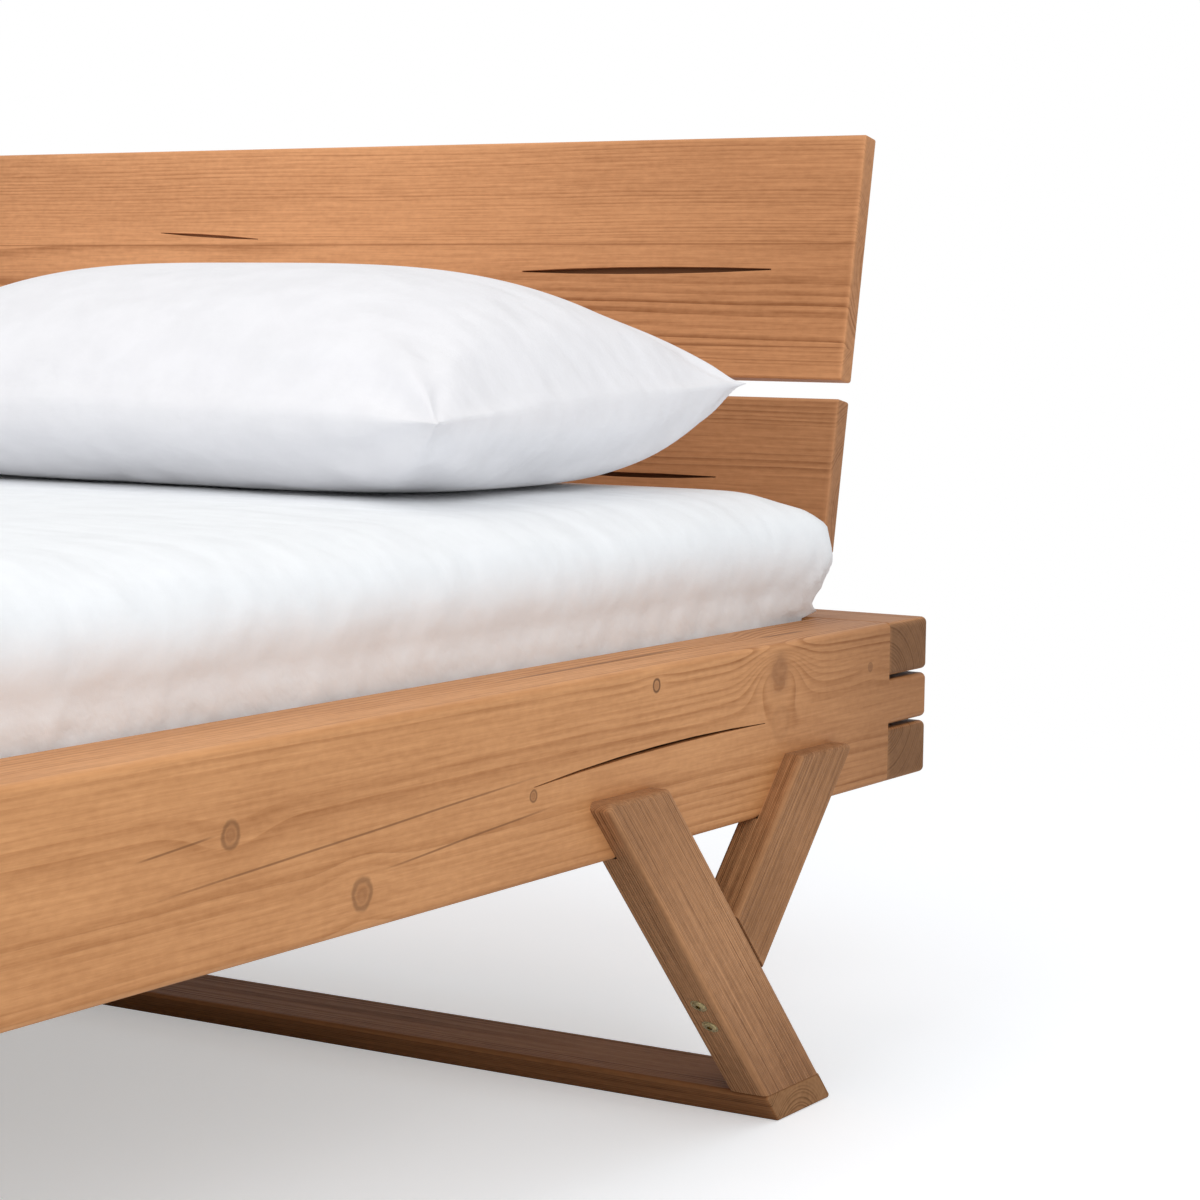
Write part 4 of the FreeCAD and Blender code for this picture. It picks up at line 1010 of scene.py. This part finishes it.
def creased(points, size, upper, sewn, seam):
    """Filled case with pleats at its corners and a sewn edge that stands out."""
    pleat_turns, pleat_place, pleat_reach = 11.0, 0.085, 0.060
    half = np.array(size[:2]) / 2
    for x in (1, -1):
        for y in (1, -1):
            gap = points[:, :2] - half * (x, y)
            far = np.linalg.norm(gap, axis=1)
            turn = np.arctan2(gap[:, 1] * -y, gap[:, 0] * -x) - math.atan2(size[1], size[0])
            pleats = np.cos(turn * pleat_turns) * np.exp(-((far - pleat_place) / pleat_reach) ** 2)
            points[:, 2] += np.where(upper, 0.0045, -0.0030) * pleats * ~sewn
    out = np.where(np.abs(points[:, :2]) > half * 0.9, np.sign(points[:, :2]), 0.0)
    points[:, :2] += out * seam * sewn[:, None]
    return points


class BED_OT_pillows(bpy.types.Operator):
    """Makes the two pillows from sewn panels that their filling swells"""
    bl_idname = "bed.pillows"
    bl_label = "Make the pillows"

    def execute(self, context):
        bedding = context.scene.bed_bedding
        material = cotton("pillow_cotton", bedding.cotton[:])
        low, high = (np.array(corner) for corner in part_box("pillow_right"))
        size = high - low
        first, upper, sewn = pillow_case("pillow_right_case", size, bedding.pillow_step)
        points = corners_of(first.data)
        swollen = blown(first, 2.5, 14, 0.5)
        points = capped(points, swollen, bedding.pillow_swell)
        points -= ((points.max(0) + points.min(0)) / 2 * [1, 1, 0]) + points.min(0) * [0, 0, 1]
        points *= (size - [0, 0, bedding.sheet_lift + bedding.slump]) / np.ptp(points, axis=0)
        points[:, 2] += bedding.sheet_lift
        points = creased(points, size, upper, sewn, bedding.seam)
        second = linked("pillow_left_case", first.data.copy())
        for side, piece, turn in (("right", first, 1), ("left", second, -1)):
            low, high = (np.array(corner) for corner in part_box("pillow_" + side))
            middle = (low + high) / 2
            set_corners(piece.data, points * [turn, turn, 1.0] + [middle[0], middle[1], low[2]])
            divided(piece)
            shade_smooth(piece, material)
            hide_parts("pillow_" + side)
            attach(piece, "pillow_" + side)
        return {"FINISHED"}


# Studio

# White of the floor and its glow, and the distances from the middle between which it turns to plain white
FLOOR_WHITE = (0.845, 0.885, 0.93, 1.0)
FLOOR_GLOW = 0.36
FLOOR_NEAR, FLOOR_FAR = 1.7, 3.4


def lamp(name, power, size, place, target):
    """A large soft square light that looks at a point."""
    data = bpy.data.lights.new(name, "AREA")
    data.energy = power
    data.size = size
    made = linked(name, data)
    made.location = place
    made.rotation_euler = (Vector(target) - Vector(place)).to_track_quat("-Z", "Y").to_euler()


def floor_material():
    """White floor that keeps shadows near the bed, and is its own plain white where the camera looks further."""
    finish = Finish("floor_white")
    tree = finish.tree
    tree.nodes.remove(finish.shader)
    white = (1.0, 1.0, 1.0, 1.0)
    lit = finish.node("ShaderNodeBsdfDiffuse", None, {"Color": FLOOR_WHITE})
    glow = finish.node("ShaderNodeEmission", None, {"Color": white, "Strength": FLOOR_GLOW})
    far = finish.node("ShaderNodeEmission", None, {"Color": white, "Strength": 1.0})
    near = finish.node("ShaderNodeAddShader", None, {0: lit, 1: glow})
    place = finish.place()
    span = finish.node("ShaderNodeVectorMath", {"operation": "LENGTH"}, {0: place}, VECTOR_VALUE)
    seen = finish.node("ShaderNodeMixShader", None, {0: finish.smooth(span, FLOOR_NEAR, FLOOR_FAR), 1: near, 2: far})
    ray = finish.node("ShaderNodeLightPath", output="Is Camera Ray")
    both = finish.node("ShaderNodeMixShader", None, {0: ray, 1: lit, 2: seen})
    tree.links.new(both.socket, tree.nodes["Material Output"].inputs["Surface"])
    return finish.material


class BED_OT_stage(bpy.types.Operator):
    """Sets up the pale floor, the soft light and the camera"""
    bl_idname = "bed.stage"
    bl_label = "Set the stage"

    def execute(self, context):
        stage = context.scene.bed_stage
        scene = context.scene
        scene.view_settings.view_transform = "Standard"
        mesh = bpy.data.meshes.new("floor")
        reach = 40.0
        mesh.from_pydata([(-reach, -reach, 0), (reach, -reach, 0), (reach, reach, 0), (-reach, reach, 0)], [],
                         [(0, 1, 2, 3)])
        floor = linked("floor", mesh)
        mesh.materials.append(floor_material())

        world = bpy.data.worlds.new("studio")
        world.use_nodes = True
        scene.world = world
        tree = world.node_tree
        background = tree.nodes["Background"]
        path = tree.nodes.new("ShaderNodeLightPath")
        level = tree.nodes.new("ShaderNodeMapRange")
        level.inputs["To Min"].default_value = stage.world_level
        seen = tree.nodes.new("ShaderNodeMath")
        seen.operation = "MAXIMUM"
        tree.links.new(path.outputs["Is Camera Ray"], seen.inputs[0])
        tree.links.new(path.outputs["Is Glossy Ray"], seen.inputs[1])
        tree.links.new(seen.outputs[0], level.inputs["Value"])
        tree.links.new(level.outputs[0], background.inputs["Strength"])
        background.inputs["Color"].default_value = (1.0, 1.0, 1.0, 1.0)

        lamp("key_light", stage.key_power, size=2.6, place=(4.2, -2.6, 2.9), target=(0.5, 0.3, 0.5))
        lamp("fill_light", stage.fill_power, size=2.4, place=(0.3, -0.5, 3.0), target=(0.4, 0.6, 0.6))

        turn, tilt, roll = stage.camera_yaw, stage.camera_pitch, stage.camera_roll
        ahead = Vector((-math.sin(turn) * math.cos(tilt), math.cos(turn) * math.cos(tilt), -math.sin(tilt)))
        level_right = Vector((math.cos(turn), math.sin(turn), 0.0))
        level_up = level_right.cross(ahead)
        image_right = math.cos(roll) * level_right + math.sin(roll) * level_up
        image_up = math.cos(roll) * level_up - math.sin(roll) * level_right
        data = bpy.data.cameras.new("camera")
        data.lens = stage.focal_length
        data.sensor_width = 36.0
        data.clip_start = 0.05
        camera = linked("camera", data)
        camera.matrix_world = Matrix.Translation(stage.camera_place) @ Matrix(
            (image_right, image_up, -ahead)).transposed().to_4x4()
        scene.camera = camera
        return {"FINISHED"}


OPERATORS = (BED_OT_stage, BED_OT_beams, BED_OT_legs, BED_OT_headboard, BED_OT_base, BED_OT_fasteners,
             BED_OT_screws, BED_OT_mattress, BED_OT_pillows)
SETTINGS = {"bed_timber": TimberSettings, "bed_bedding": BeddingSettings, "bed_screws": ScrewSettings,
            "bed_stage": StageSettings}


class BED_PT_panel(bpy.types.Panel):
    """Lists the steps that dress the bed"""
    bl_idname = "BED_PT_panel"
    bl_label = "Beam bed"
    bl_space_type = "VIEW_3D"
    bl_region_type = "UI"
    bl_category = "Bed"

    def draw(self, context):
        for operator in OPERATORS:
            self.layout.operator(operator.bl_idname)


def register():
    for name, group in SETTINGS.items():
        bpy.utils.register_class(group)
        setattr(bpy.types.Scene, name, PointerProperty(type=group))
    for kind in (*OPERATORS, BED_PT_panel):
        bpy.utils.register_class(kind)


def unregister():
    for kind in (BED_PT_panel, *reversed(OPERATORS)):
        bpy.utils.unregister_class(kind)
    for name, group in SETTINGS.items():
        delattr(bpy.types.Scene, name)
        bpy.utils.unregister_class(group)


def main():
    register()
    for operator in OPERATORS:
        family, step = operator.bl_idname.split(".")
        getattr(getattr(bpy.ops, family), step)()


if __name__ == "__main__":
    main()
